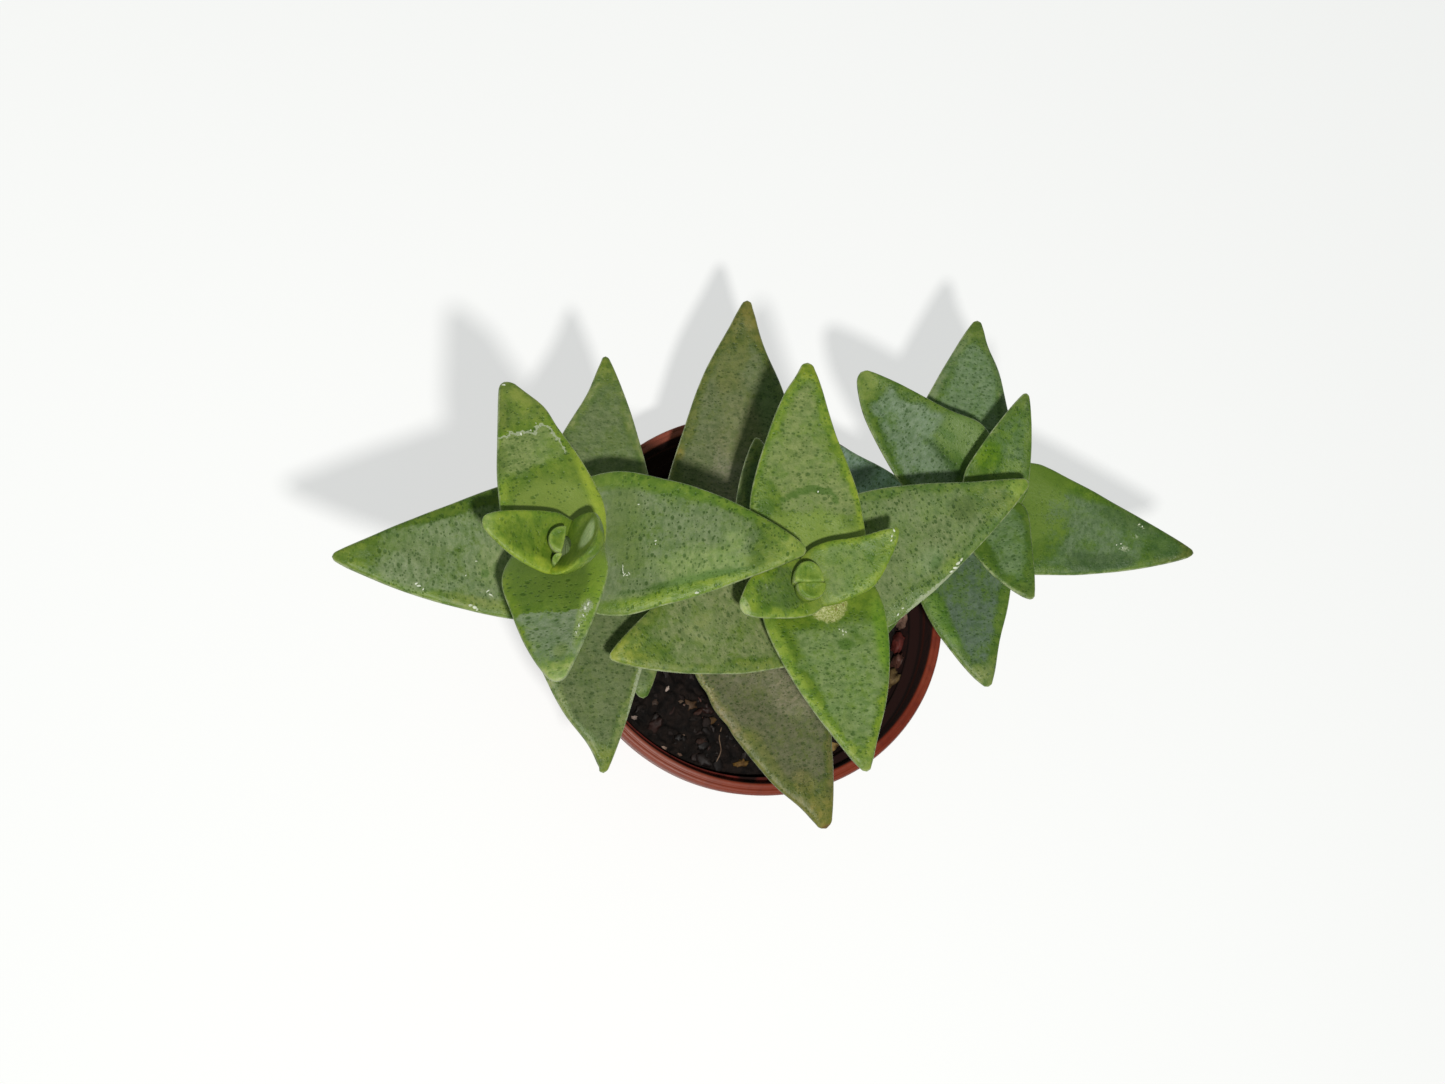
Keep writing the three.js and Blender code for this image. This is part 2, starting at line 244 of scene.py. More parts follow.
# each stem's pairs of leaves, from the lowest to the bud
LEFT_PAIRS = (
    pair(above(-20, -3, 18),
        hidden(15, 9, 86, -3), hidden(14.1, 9, -76, -3, sweep=-5, tip=(82, 106, 40))),
    pair(above(-23.5, -4.5, 27.5), hidden(17, 11, 186, -4), hidden(8, 8, 2, -4)),
    pair(above(-28, -6, 39.5),
        leaf(25, 15.8, 82, 6, "old", sweep=9, curl=2, roll=2, blunt=-0.4, dots=0.6,
            nips=((1, 0.8, 0.14, 0.5),)),
        leaf(24, 16.2, -84, -5, "old", sweep=3, curl=3, roll=-5, blunt=-0.3, end=0.35,
            nips=((-1, 0.87, 0.12, 0.8),), powder=(95, 107, 70),
            frost=((0.62, 0.95, 0.16, 0.06, 1.0),))),
    pair(above(-30.8, -8.8, 53.5),
        leaf(24.6, 15.4, 194, 9, "grey", sweep=-10, curl=2, blunt=-0.3,
            bloom=(0.06, 0.87, 0.5, 0.85), powder=(125, 139, 106), skin=(84, 106, 38),
            patches=(((98, 117, 66), 0.74, -0.5, 0.09, 0.4, 0.7),
                ((126, 141, 96), 0.36, 0.2, 0.07, 0.3, 0.8),
                ((106, 122, 80), 0.62, -0.1, 0.1, 0.4, 0.6), ("skin", 0.5, -0.85, 0.4, 0.2, 0.7),
                ((122, 134, 70), 0.45, 0.85, 0.12, 0.12, 0.8)),
            shade=((0.4, 0.35, 0.012, 0.04, 1.5),), bare=((0.45, -0.9, 0.35, 0.16, 0.9),),
            frost=((0.57, 0.97, 0.1, 0.04, 0.5),)),
        leaf(24.5, 15.6, 5, 15, "grey", sweep=-12, curl=-3, roll=2, blunt=-0.1, dots=1.2,
            powder=(114, 128, 94), tip=(124, 142, 66),
            patches=(((98, 116, 60), 0.24, 0.2, 0.09, 0.7, 0.8),
                ((136, 152, 102), 0.7, 0.05, 0.05, 0.25, 0.9),
                ((100, 118, 66), 0.7, 0.25, 0.07, 0.4, 0.4),
                ((128, 146, 92), 0.58, -0.5, 0.2, 0.4, 0.9),
                ((114, 137, 44), 0.48, -0.88, 0.34, 0.14, 1.0),
                ((100, 127, 46), 0.45, 0.88, 0.35, 0.16, 0.7)),
            shade=((0.5, -0.68, 0.3, 0.06, 1.1), (0.36, 0.03, 0.03, 0.015, 0.8),
                (0.25, -0.38, 0.02, 0.03, 1.0)),
            bare=((0.48, -0.9, 0.34, 0.14, 0.9), (0.45, 0.9, 0.35, 0.16, 0.7)),
            calm=((0.2, 0.1, 0.06, 0.7, 0.5),), frost=((0.56, -0.94, 0.2, 0.05, 0.6),))),
    pair(above(-32.8, -12, 63),
        leaf(17.6, 10.8, 109, 9, sweep=6, curl=-3, roll=11, blunt=-0.1, end=0.6,
            nips=((-1, 0.8, 0.1, -0.45), (1, 0.75, 0.25, 0.2)), bloom=(0.47, 0.8, 0.1, 1.0),
            front=(0.69, 1, -1, 1.0, 1.0), skin=(100, 122, 44), base=(120, 139, 60),
            powder=(120, 135, 82), tip=(110, 127, 56),
            patches=(("base", 0.22, 0.1, 0.16, 0.8, 1.0), (YELLOW, 0.22, -0.98, 0.26, 0.24, 1.0),
                (YELLOW, 0.4, -1.0, 0.14, 0.15, 0.8), ((118, 132, 64), 0.86, 0.0, 0.13, 1.5, 0.9),
                ((96, 112, 54), 0.8, 0.8, 0.08, 0.4, 0.7),
                ((94, 113, 52), 0.56, 0.9, 0.09, 0.18, 0.9)),
            bare=((0.35, -0.95, 0.2, 0.35, 1.0),),
            calm=((0.2, 0.1, 0.2, 0.9, 1.0), (0.3, -0.95, 0.3, 0.3, 0.7))),
        leaf(15.6, 9.8, -98, 18, sweep=12, curl=9, roll=16, end=0.5, nips=((-1, 0.28, 0.15, -0.5),),
            bloom=(0.4, 0.9, 0.1, 1.0), front=(0.52, -1, 0, 0, 0.35), base=(98, 122, 52),
            skin=(98, 122, 48), powder=(122, 137, 110), tip=(152, 166, 108),
            patches=(((124, 150, 54), 0.35, 0.85, 0.28, 0.25, 1.0),
                ((126, 148, 72), 0.62, 0.8, 0.2, 0.2, 0.8),
                ((112, 130, 76), 0.81, 0.23, 0.06, 0.4, 0.8)),
            calm=((0.2, 0.0, 0.26, 1.5, 1.0),),
            frost=((0.62, 0.72, 0.2, 0.16, 0.75), (0.5, 0.78, 0.05, 0.12, 0.95)))),
    pair(above(-33, -13, 66.5),
        leaf(8.5, 6.4, 170, 20, blunt=0.3, cup=0.2, dots=0.8, line=0.5,
            nips=((-1, 0.55, 0.4, 0.45),), under=(88, 112, 34), bloom=(0, 0, 9, 0),
            skin=(96, 119, 36), base=(94, 117, 34), tip=(140, 158, 90), powder=(106, 128, 52),
            patches=((YELLOW, 0.2, 0.95, 0.4, 0.3, 0.8),), frost=((0.9, 0, 0.1, 0.6, 0.5),)),
        leaf(6.5, 6.5, -25, 48, curl=34, blunt=0.8, cup=0.2, dots=0.3, line=0.3,
            nips=((1, 0.5, 0.4, -0.5),), bloom=(0, 0, 9, 0), skin=(106, 130, 46),
            base=(92, 118, 34), edge=(118, 140, 52), tip=(104, 126, 46), powder=(98, 122, 44),
            under=(88, 112, 34),
            # the first patch is a painted highlight on the leaf's curled inner face
            patches=(((186, 204, 146), 0.66, 0.38, 0.19, 0.46, 1.1),
                ((154, 172, 52), 0.3, -0.95, 0.4, 0.25, 0.9)),
            calm=((0.6, 0.2, 0.4, 0.8, 0.8),))),
    bud(above(-33.8, -13.5, 68),
        half_disc(-33.35, -13.1, 67.4, 69.8, 2.7, 1.4, 172, skin=(100, 124, 40)),
        half_disc(-33.7, -15.0, 67.4, 69.6, 1.3, 0.6, 150, skin=(100, 124, 40))),
)

CENTRE_PAIRS = (
    pair(above(-8.5, 1, 11.5), hidden(11, 9, 170, -3), hidden(16, 10, -15, -3)),
    pair(above(-6.1, -1.1, 21.5),
        leaf(37, 20.6, 90, 8, "olive", curl=9, roll=-2, blunt=-0.2, end=0.4,
            nips=((1, 0.88, 0.08, 0.12), (1, 0.68, 0.14, -0.35), (-1, 0.84, 0.12, 0.8)),
            patches=(((118, 117, 96), 0.36, 0.05, 0.16, 0.35, 0.9),
                ((106, 110, 72), 0.52, 0.0, 0.1, 0.4, 0.7),
                ((96, 102, 52), 0.8, 0.4, 0.12, 0.5, 0.8),
                ((126, 114, 56), 0.42, 0.95, 0.025, 0.09, 0.6),
                # the last patch, greener where the upper leaves' shadow falls, is partly the skin's
                # own green and partly a painted tint of that shade
                ((92, 112, 66), 0.5, -0.75, 0.28, 0.4, 0.7)),
            frost=((0.4, 1.0, 0.3, 0.03, 0.7), (0.66, -0.75, 0.012, 0.06, 0.4))),
        leaf(34.2, 19.9, -73, -4, "olive", sweep=6, curl=8, roll=-2, blunt=-0.1, end=0.7,
            nips=((1, 0.6, 0.3, 0.35), (-1, 0.9, 0.08, 0.6), (-1, 0.4, 0.03, 0.25),
                (-1, 0.53, 0.025, 0.2)),
            powder=(95, 95, 72), line=0.3, edge=(98, 98, 58), tip=(118, 114, 56),
            patches=(((114, 112, 90), 0.3, 0.1, 0.12, 0.8, 0.8),
                ((122, 118, 96), 0.5, 0.3, 0.08, 0.35, 0.8),
                ((124, 114, 82), 0.53, -0.97, 0.16, 0.14, 0.8),
                ((114, 110, 62), 0.81, -0.2, 0.05, 0.4, 0.7),
                ((102, 106, 52), 0.72, -0.8, 0.14, 0.3, 0.8),
                ((96, 74, 44), 1.0, 0.0, 0.012, 1.0, 0.9)),
            scar=((0.36, -0.96, 0.12, 0.05, 0.45),))),
    pair(above(-5, -3.8, 30), hidden(12, 9, 202, 2), hidden(15, 9, 18, 8)),
    pair(above(-4, -6.3, 37),
        # painted shade: this leaf's skin and powder are painted dark, as it lies in the shadow of
        # the leaves above
        leaf(17.8, 10.4, 107, 14, "old", sweep=-8, end=0.12, skin=(62, 86, 38),
            powder=(72, 94, 60)),
        hidden(13.9, 9, -76, 6)),
    pair(above(-2.4, -8.7, 45),
        leaf(25.7, 15.4, 207, 7, "grey", sweep=-7, curl=-2, roll=-1, end=0.15, tip=(134, 144, 60),
            powder=(124, 133, 92), edge=(106, 121, 60),
            patches=(((130, 138, 98), 0.58, 0.05, 0.07, 0.35, 0.8),)),
        leaf(27.6, 16, 26, 14, "grey", curl=7, roll=1, blunt=-0.2, end=0.4, dots=1.3,
            nips=((1, 0.8, 0.15, 0.35),), powder=(111, 125, 83), edge=(98, 120, 62),
            patches=(((84, 102, 50), 0.71, 0.15, 0.06, 0.4, 1.0),
                ((96, 114, 62), 0.83, 0.0, 0.06, 0.5, 0.8),
                ((120, 136, 96), 0.48, -0.5, 0.08, 0.2, 0.8),
                ((112, 132, 52), 0.55, -0.82, 0.05, 0.12, 0.8),
                ((118, 140, 62), 0.96, 0.0, 0.05, 1.0, 0.9)),
            shade=((0.5, -0.62, 0.04, 0.12, 0.8),),
            frost=((0.46, -0.98, 0.15, 0.045, 1.2), (0.3, -0.88, 0.1, 0.14, 0.6)))),
    pair(above(-4.7, -10.3, 52.5),
        leaf(23.9, 13, 99, 11, sweep=-11, curl=5, roll=-1, end=0.45,
            nips=((1, 0.4, 0.2, -0.2), (-1, 0.72, 0.2, 0.5), (1, 0.93, 0.05, 0.2)),
            bloom=(0.27, 0.86, 0.9, 0.9), powder=(121, 134, 82), base=(122, 143, 62),
            tip=(118, 134, 44), edge=(114, 136, 48),
            patches=(("base", 0.22, -0.1, 0.12, 0.9, 0.9), ("skin", 0.3, 0.85, 0.2, 0.2, 0.7),
                ("skin", 0.3, -0.75, 0.08, 0.2, 0.7), (YELLOW, 0.4, -0.97, 0.3, 0.12, 0.6)),
            # the first six shade spots are painted shade along the groove of an imprinted arc
            shade=((0.365, 0.42, 0.014, 0.1, 1.5), (0.385, 0.26, 0.013, 0.1, 1.5),
                (0.405, 0.08, 0.012, 0.12, 1.5), (0.415, -0.12, 0.012, 0.12, 1.5),
                (0.4, -0.34, 0.014, 0.12, 1.5), (0.36, -0.5, 0.025, 0.06, 1.3),
                (0.33, 0.72, 0.05, 0.16, 0.7)),
            bare=((0.35, 0.75, 0.09, 0.3, 1.0), (0.2, 0.0, 0.12, 1.2, 1.0)),
            calm=((0.2, 0.0, 0.16, 1.0, 0.9),)),
        leaf(21.9, 13.7, -76, 10, sweep=-3, curl=-3, roll=-1, end=0.2,
            nips=((1, 0.85, 0.12, 0.35), (-1, 0.85, 0.1, 0.15)), bloom=(0.27, 0.86, 0.7, 0.9),
            base=(104, 128, 38), powder=(118, 136, 88), tip=(126, 141, 70),
            patches=(((118, 141, 52), 0.4, -0.95, 0.26, 0.16, 0.9),
                ((100, 120, 62), 0.77, -0.35, 0.05, 0.25, 0.6),
                ((104, 134, 42), 0.38, 0.9, 0.2, 0.2, 1.0)),
            shade=((0.38, 0.2, 0.03, 0.14, 1.0), (0.33, 0.4, 0.04, 0.08, 0.7)),
            bare=((0.35, -0.9, 0.12, 0.3, 1.0), (0.55, -0.9, 0.12, 0.3, 1.0)),
            scar=((0.15, 0.08, 0.11, 0.32, 1.3),),
            lump=((0.16, 0.0, 0.05, 0.25, 0.5), (0.14, 0.3, 0.03, 0.12, 0.35),
                (0.19, 0.12, 0.03, 0.12, 0.35)))),
    pair(above(-5.8, -11.9, 56.5),
        leaf(8.6, 6.6, 204, 5, blunt=0.4, end=0.25,
            nips=((1, 0.6, 0.3, 0.3), (-1, 0.7, 0.2, -0.55)), bloom=(0.2, 0.85, 1.0, 0.7),
            powder=(96, 114, 66), skin=(92, 114, 42), patches=((PALE, 0.96, 0.0, 0.05, 1.0, 0.8),),
            shade=((0.45, 0.3, 0.2, 0.3, 0.5), (0.7, 0.5, 0.06, 0.3, 0.7)),
            frost=((0.6, -0.5, 0.015, 0.3, 0.7),)),
        leaf(10.9, 6.6, 26, 21, sweep=14, blunt=0.5, end=0.12, line=0.25, dots=0.9,
            nips=((1, 0.7, 0.3, 0.85), (-1, 0.5, 0.2, -0.6)), bloom=(0.12, 0.6, 1.0, 0.7),
            powder=(118, 136, 82), skin=(104, 127, 44), tip=(120, 140, 58),
            patches=(("edge", 0.6, 0.9, 0.4, 0.2, 0.9), ("edge", 0.6, -0.9, 0.4, 0.2, 0.9)),
            shade=((0.62, -0.2, 0.05, 0.3, 0.8), (0.3, 0.4, 0.1, 0.2, 0.5)),
            frost=((0.5, 0.6, 0.012, 0.2, 0.7),))),
    bud(above(-6.3, -12.4, 57.8),
        half_disc(-6.85, -12.6, 56.4, 59.9, 3.3, 2.2, 94),
        half_disc(-6.6, -12.8, 56.4, 59.8, 3.2, 1.7, 274, skin=(104, 128, 44),
            edge=(118, 140, 56))),
)

RIGHT_PAIRS = (
    pair(above(20, 7.2, 9),
        hidden(9.5, 7, 110, 2, look="blue"), hidden(14, 9, -105, 2, look="blue")),
    pair(above(20, 6.1, 19),
        # painted light and shade: this leaf's powder is painted very pale to lift the part in
        # shade, and the patch near its tip paints the lit part darker
        leaf(17.6, 10.3, 137, 9, "blue", sweep=-5, curl=3, powder=(160, 186, 176),
            nips=((-1, 0.82, 0.2, 0.4),), bloom=(0, 1, 0.2, 1), tip=(96, 116, 84),
            patches=(((108, 128, 116), 0.95, 0.0, 0.3, 1.5, 1.0),)),
        leaf(14.7, 9.8, -42, 5, "blue", powder=(100, 116, 92))),
    pair(above(21.4, 7.7, 29),
        leaf(25.3, 15.5, 84, 14, "blue", sweep=2, curl=6, roll=-4, blunt=-0.1,
            nips=((-1, 0.88, 0.08, 0.4), (1, 0.75, 0.15, 0.2)), powder=(102, 122, 92),
            edge=(100, 117, 82)),
        leaf(24, 13.6, -90, 1, "blue", sweep=17, curl=1, roll=9, blunt=0.2, end=0.2,
            nips=((1, 0.8, 0.15, 0.35), (1, 0.45, 0.2, -0.45), (-1, 0.8, 0.15, 0.2)),
            powder=(82, 99, 86), tip=(106, 121, 66),
            patches=(((90, 120, 48), 0.62, -0.7, 0.14, 0.22, 0.9),),
            bare=((0.6, -0.7, 0.14, 0.22, 0.9),))),
    pair(above(22.8, 5.1, 37),
        leaf(23.5, 13, 144, 9, "blue", sweep=-12, curl=1, roll=-10, cup=0.25, blunt=0.2, end=0.4,
            tip=(112, 130, 66),
            nips=((1, 0.85, 0.15, -0.4), (-1, 0.7, 0.2, 0.2), (-1, 0.36, 0.12, -0.9)),
            powder=(113, 131, 108), bloom=(0.2, 0.88, 1.3, 0.95),
            # the second patch and the shade spots are painted shade along a fold
            patches=(((99, 123, 60), 0.36, -0.7, 0.18, 0.5, 1.1),
                ((58, 84, 40), 0.36, -0.1, 0.16, 0.1, 0.9)),
            shade=((0.3, -0.28, 0.1, 0.07, 0.8), (0.46, -0.48, 0.09, 0.07, 0.7)),
            bare=((0.34, -0.6, 0.18, 0.5, 1.0),), calm=((0.36, -0.7, 0.2, 0.5, 1.0),)),
        leaf(25.8, 14.7, -17, 12, "blue", sweep=4, curl=9, roll=5, blunt=-0.3,
            nips=((-1, 0.7, 0.3, -0.3),), bloom=(0.34, 0.8, 1.1, 0.8), dots=0.5,
            powder=(98, 117, 88), base=(98, 122, 46), tip=(88, 98, 44),
            patches=(("base", 0.26, 0.3, 0.12, 0.9, 1.0), ((88, 114, 34), 0.4, 0.9, 0.2, 0.2, 0.9),
                ((66, 92, 44), 0.86, 0.0, 0.08, 0.8, 0.9),
                ((72, 93, 58), 0.58, -0.72, 0.15, 0.25, 0.9),
                ((74, 96, 56), 0.66, 0.62, 0.14, 0.3, 0.9)),
            shade=((0.6, -0.85, 0.16, 0.1, 0.6),), calm=((0.22, 0.3, 0.14, 1.0, 1.0),),
            frost=((0.68, -0.3, 0.03, 0.12, 0.9), (0.72, 0.2, 0.03, 0.12, 0.8),
                (0.74, 0.62, 0.02, 0.08, 0.9)))),
    pair(above(19.8, 3.2, 44),
        leaf(14.2, 8, 72, 21, "blue", sweep=2, curl=2, cup=0.25, blunt=-0.2,
            bloom=(0.45, 0.8, 0.9, 0.6), skin=(86, 112, 40),
            patches=(((90, 119, 24), 0.42, 0.6, 0.13, 0.5, 1.0),)),
        leaf(13.5, 8.9, -84, 14, "blue", sweep=22, curl=-1, roll=7, cup=0.2, blunt=0.1, end=0.15,
            nips=((1, 0.6, 0.3, 0.25),), powder=(104, 126, 88),
            patches=(("skin", 0.4, -0.7, 0.25, 0.3, 0.9),), bare=((0.4, -0.7, 0.25, 0.3, 0.9),))),
    bud(above(19.7, 3.2, 45.8),
        half_disc(19.4, 3.4, 44.4, 47.4, 2.6, 1.6, 170),
        half_disc(19.6, 3.4, 44.4, 47.2, 2.6, 1.5, -10)),
)

STEMS = (
    dict(name="left_stem_with_leaves", node="leafy_stem_left", slot="leaf_green",
         ground=above(-15, -1, 0), girth=(1.9, 1.1), pairs=LEFT_PAIRS),
    dict(name="centre_stem_with_leaves", node="leafy_stem_centre", slot="leaf_green",
         ground=above(-9, 2, 0), girth=(2.1, 1.1), pairs=CENTRE_PAIRS),
    dict(name="right_stem_with_leaves", node="leafy_stem_right", slot="leaf_blue_green",
         ground=above(19.5, 7.5, 0), girth=(1.9, 1.0), pairs=RIGHT_PAIRS),
)

# what lies on the soil: how many, colours, shortest and longest in mm, height as a share of length
BITS = (
    (190, ((27, 17, 15), (33, 20, 17), (20, 13, 12), (44, 23, 19)), 0.7, 2.6, 0.25),
    (240, ((20, 13, 12), (27, 18, 15)), 0.5, 1.6, 0.4),
    (60, ((128, 104, 96), (92, 62, 50), (66, 38, 32)), 0.2, 0.45, 0.7),
)

# the root's way across the soil: picture columns and rows
THREAD = ((722, 727), (719, 738), (720, 752), (714, 766))

# the bits that stand out: picture column and row, three sizes in mm, turn in degrees and colour
SEEN_BITS = (
    (742, 763, 2.0, 1.3, 1.0, 20, (118, 88, 40)), (836, 744, 2.0, 1.4, 1.0, 60, (142, 118, 66)),
    (690, 705, 2.2, 1.5, 0.7, -20, (84, 62, 42)), (698, 713, 1.5, 0.7, 0.5, 40, (66, 40, 32)),
    (681, 702, 0.9, 0.6, 0.4, 70, (110, 90, 74)), (655, 702, 1.4, 0.9, 0.6, 10, (66, 50, 40)),
    (672, 712, 1.7, 0.4, 0.4, 60, (52, 30, 28)), (702, 700, 1.2, 0.3, 0.3, -50, (88, 56, 46)),
    (667, 689, 0.8, 0.5, 0.5, 80, (178, 160, 150)), (634, 718, 0.9, 0.6, 0.5, 0, (160, 142, 134)),
    (665, 746, 1.1, 0.5, 0.4, -30, (150, 126, 112)), (683, 735, 0.7, 0.5, 0.4, 0, (134, 112, 100)),
    (680, 754, 0.8, 0.4, 0.4, -25, (128, 100, 86)), (905, 622, 2.6, 1.3, 3.4, 88, (140, 110, 96)),
    (905, 646, 3.4, 1.5, 3.4, 78, (98, 38, 32)), (903, 668, 3.0, 1.3, 6.0, 66, (92, 58, 48)),
    (897, 686, 3.4, 1.8, 5.6, 60, (108, 88, 54)), (889, 702, 2.6, 1.4, 3.8, 50, (70, 38, 34)),
    (709, 722, 2.0, 1.1, 0.7, 35, (84, 60, 30)), (700, 742, 1.6, 0.9, 0.6, 15, (60, 40, 34)),
)

# white and tan flecks on the leaves: stem, pair, leaf, colour and spots, and of each spot its
# places along and across, how long and how wide in mm, and its turn in degrees
FLECKS = (
    (0, 3, 0, WHITE, (
        (0.4, 0.62, 0.5, 0.16, 30), (0.39, 0.68, 0.55, 0.17, -40), (0.68, 0.72, 0.4, 0.22, 20),
        (0.67, 0.76, 0.5, 0.2, 0), (0.655, 0.82, 0.3, 0.15, 60), (0.475, 0.92, 0.45, 0.28, 10),
        (0.46, 0.94, 0.5, 0.35, -20), (0.45, 0.96, 0.35, 0.25, 40), (0.43, 0.12, 0.3, 0.12, 0),
        (0.48, 0.38, 0.25, 0.12, 50))),
    (0, 3, 1, WHITE, (
        (0.219, -0.33, 0.35, 0.1, 95), (0.218, -0.375, 0.45, 0.12, 88),
        (0.22, -0.42, 0.45, 0.13, 100), (0.225, -0.455, 0.4, 0.13, 50),
        (0.235, -0.465, 0.4, 0.13, 0), (0.245, -0.44, 0.35, 0.11, -60),
        (0.36, 0.0, 0.35, 0.16, 20), (0.36, -0.05, 0.2, 0.16, 90), (0.54, -0.95, 0.45, 0.25, 10),
        (0.29, 0.53, 0.25, 0.12, 0))),
    (0, 4, 0, WHITE, (
        (0.98, 0.45, 0.4, 0.2, 70), (0.68, 0.2, 0.35, 0.2, 0), (0.685, -0.15, 0.25, 0.15, 0))),
    (0, 4, 1, WHITE, (
        (0.51, 0.73, 0.6, 0.25, 10), (0.48, 0.78, 0.5, 0.2, -20), (0.57, 0.74, 0.4, 0.15, 30),
        (0.64, 0.7, 0.4, 0.14, 0), (0.69, 0.68, 0.35, 0.12, 20))),
    (1, 5, 1, WHITE, (
        (0.31, 0.2, 0.35, 0.2, 0), (0.32, 0.25, 0.25, 0.18, 40), (0.33, 0.19, 0.2, 0.15, 0),
        (0.3, 0.15, 0.2, 0.12, 80))),
    (1, 5, 0, WHITE, ((0.4, -0.22, 0.25, 0.2, 0),)),
    (1, 5, 1, CREAM, (
        (0.15, 0.1, 0.5, 0.3, 50), (0.18, 0.0, 0.6, 0.3, 110), (0.16, 0.28, 0.45, 0.25, 0),
        (0.21, 0.1, 0.4, 0.3, 80), (0.19, 0.22, 0.4, 0.2, 30), (0.17, -0.12, 0.4, 0.25, 10))),
    (1, 5, 1, TAN, (
        (0.14, 0.15, 0.5, 0.3, 20), (0.11, -0.07, 0.4, 0.25, 70), (0.2, 0.18, 0.4, 0.25, 0),
        (0.12, 0.12, 0.35, 0.2, 120), (0.18, 0.33, 0.4, 0.2, 30), (0.16, -0.17, 0.5, 0.25, 45),
        (0.14, 0.45, 0.35, 0.2, 10), (0.17, 0.05, 0.45, 0.3, 80))),
    (1, 4, 1, WHITE, (
        (0.58, -0.93, 0.7, 0.3, 10), (0.56, -0.95, 0.7, 0.35, -15), (0.6, -0.92, 0.5, 0.25, 30),
        (0.54, -0.95, 0.5, 0.2, 0), (0.26, -0.93, 0.4, 0.2, 30), (0.29, -0.9, 0.3, 0.2, 0))),
    (1, 6, 1, WHITE, (
        (0.9, -0.25, 0.4, 0.2, 40), (0.95, 0.03, 0.4, 0.2, 80), (0.87, -0.45, 0.3, 0.15, 20))),
    (1, 1, 1, TAN, (
        (0.33, -0.93, 0.35, 0.2, 0), (0.36, -0.95, 0.3, 0.2, 30), (0.39, -0.9, 0.35, 0.2, 80),
        (0.43, -0.96, 0.4, 0.2, 10), (0.47, -0.92, 0.3, 0.2, 50), (0.3, -0.93, 0.3, 0.2, 0))),
    (2, 3, 1, WHITE, (
        (0.66, -0.15, 0.3, 0.16, 20), (0.64, -0.2, 0.25, 0.14, 70), (0.67, -0.27, 0.3, 0.15, 0),
        (0.73, 0.7, 0.35, 0.18, 30), (0.745, 0.66, 0.25, 0.15, 80))),
)

# ------------------------------------------------------------------ small helpers


def linear(colour):
    """A displayed colour, 0 to 255, as linear light."""
    share = np.asarray(colour, float) / 255
    return np.where(share <= 0.04045, share / 12.92, ((share + 0.055) / 1.055) ** 2.4)


def rgb(*colour):
    return tuple(linear(colour))


def painted(colour, grid):
    """One colour at every place of a grid."""
    return np.broadcast_to(linear(colour), grid.shape + (3,))


def blended(own, other, share):
    """Values drawn towards others, by a share for each of the values' first axes."""
    return own + (other - own) * share.reshape(share.shape + (1,) * (own.ndim - share.ndim))


def smooth(value, low, high):
    """0 at low, 1 at high, and eased between them. Low may be above high."""
    share = np.clip((value - low) / (high - low), 0, 1)
    return share * share * (3 - 2 * share)


def lattice(column, row, seed):
    """A value from 0 to 1 for each whole place on a lattice."""
    mixed = column.astype(np.uint64) * np.uint64(374761393)
    mixed += row.astype(np.uint64) * np.uint64(668265263) + np.uint64(seed * 69069 + 1)
    mixed &= np.uint64(0xFFFFFFFF)
    mixed = ((mixed ^ (mixed >> np.uint64(13))) * np.uint64(1274126177)) & np.uint64(0xFFFFFFFF)
    mixed ^= mixed >> np.uint64(16)
    return mixed.astype(float) / 0xFFFFFFFF


def noise(x, y, seed):
    """Smooth noise from 0 to 1, with lumps about one unit wide."""
    x, y = np.broadcast_arrays(x, y)
    column, row = np.floor(x), np.floor(y)
    across = smooth(x - column, 0, 1)
    up = smooth(y - row, 0, 1)
    column = (column + 4096).astype(np.int64)
    row = (row + 4096).astype(np.int64)
    low = lattice(column, row, seed) * (1 - across) + lattice(column + 1, row, seed) * across
    high = (lattice(column, row + 1, seed) * (1 - across)
            + lattice(column + 1, row + 1, seed) * across)
    return low * (1 - up) + high * up


def unit(vectors):
    return vectors / np.linalg.norm(vectors, axis=-1, keepdims=True)


def around(sides):
    """The angles of a ring, clockwise, so that a shell of rising rings faces outwards."""
    return -np.arange(sides) / sides * FULL_TURN


def spun(x, y, turn):
    return x * np.cos(turn) - y * np.sin(turn), x * np.sin(turn) + y * np.cos(turn)


def along_line(at, marks, line):
    """Places on a line of points, whose distances are the marks."""
    return np.stack([np.interp(at, marks, line[:, axis]) for axis in range(3)], -1)


def tube(line, radius, sides, level=(0, 1, 0)):
    """Rings around a line, with one radius or one for each point and side."""
    onwards = unit(np.gradient(line, axis=0))
    right = unit(np.cross(level, onwards))
    front = np.cross(onwards, right)
    radius = np.broadcast_to(radius, (len(line), sides))
    return (line[:, None] + right[:, None] * (radius * np.cos(around(sides)))[..., None]
            + front[:, None] * (radius * np.sin(around(sides)))[..., None])


# ------------------------------------------------------------------ leaves


def outline(blade, along):
    """Half width as a share of the widest, from the node (0) to the tip (1)."""
    beyond = np.clip((along - WIDEST_AT) / (1 - WIDEST_AT), 0, 1)
    near = np.clip(along / WIDEST_AT, 0, 1)
    waist = WAIST + (1 - WAIST) * np.sin(near * np.pi / 2)
    taper = (1 - beyond ** (TAPER + blade["blunt"])) ** (TAPER_FALL - 0.2 * blade["blunt"])
    return waist * ((1 - ROUND_END) * taper + ROUND_END * np.sqrt(1 - beyond))


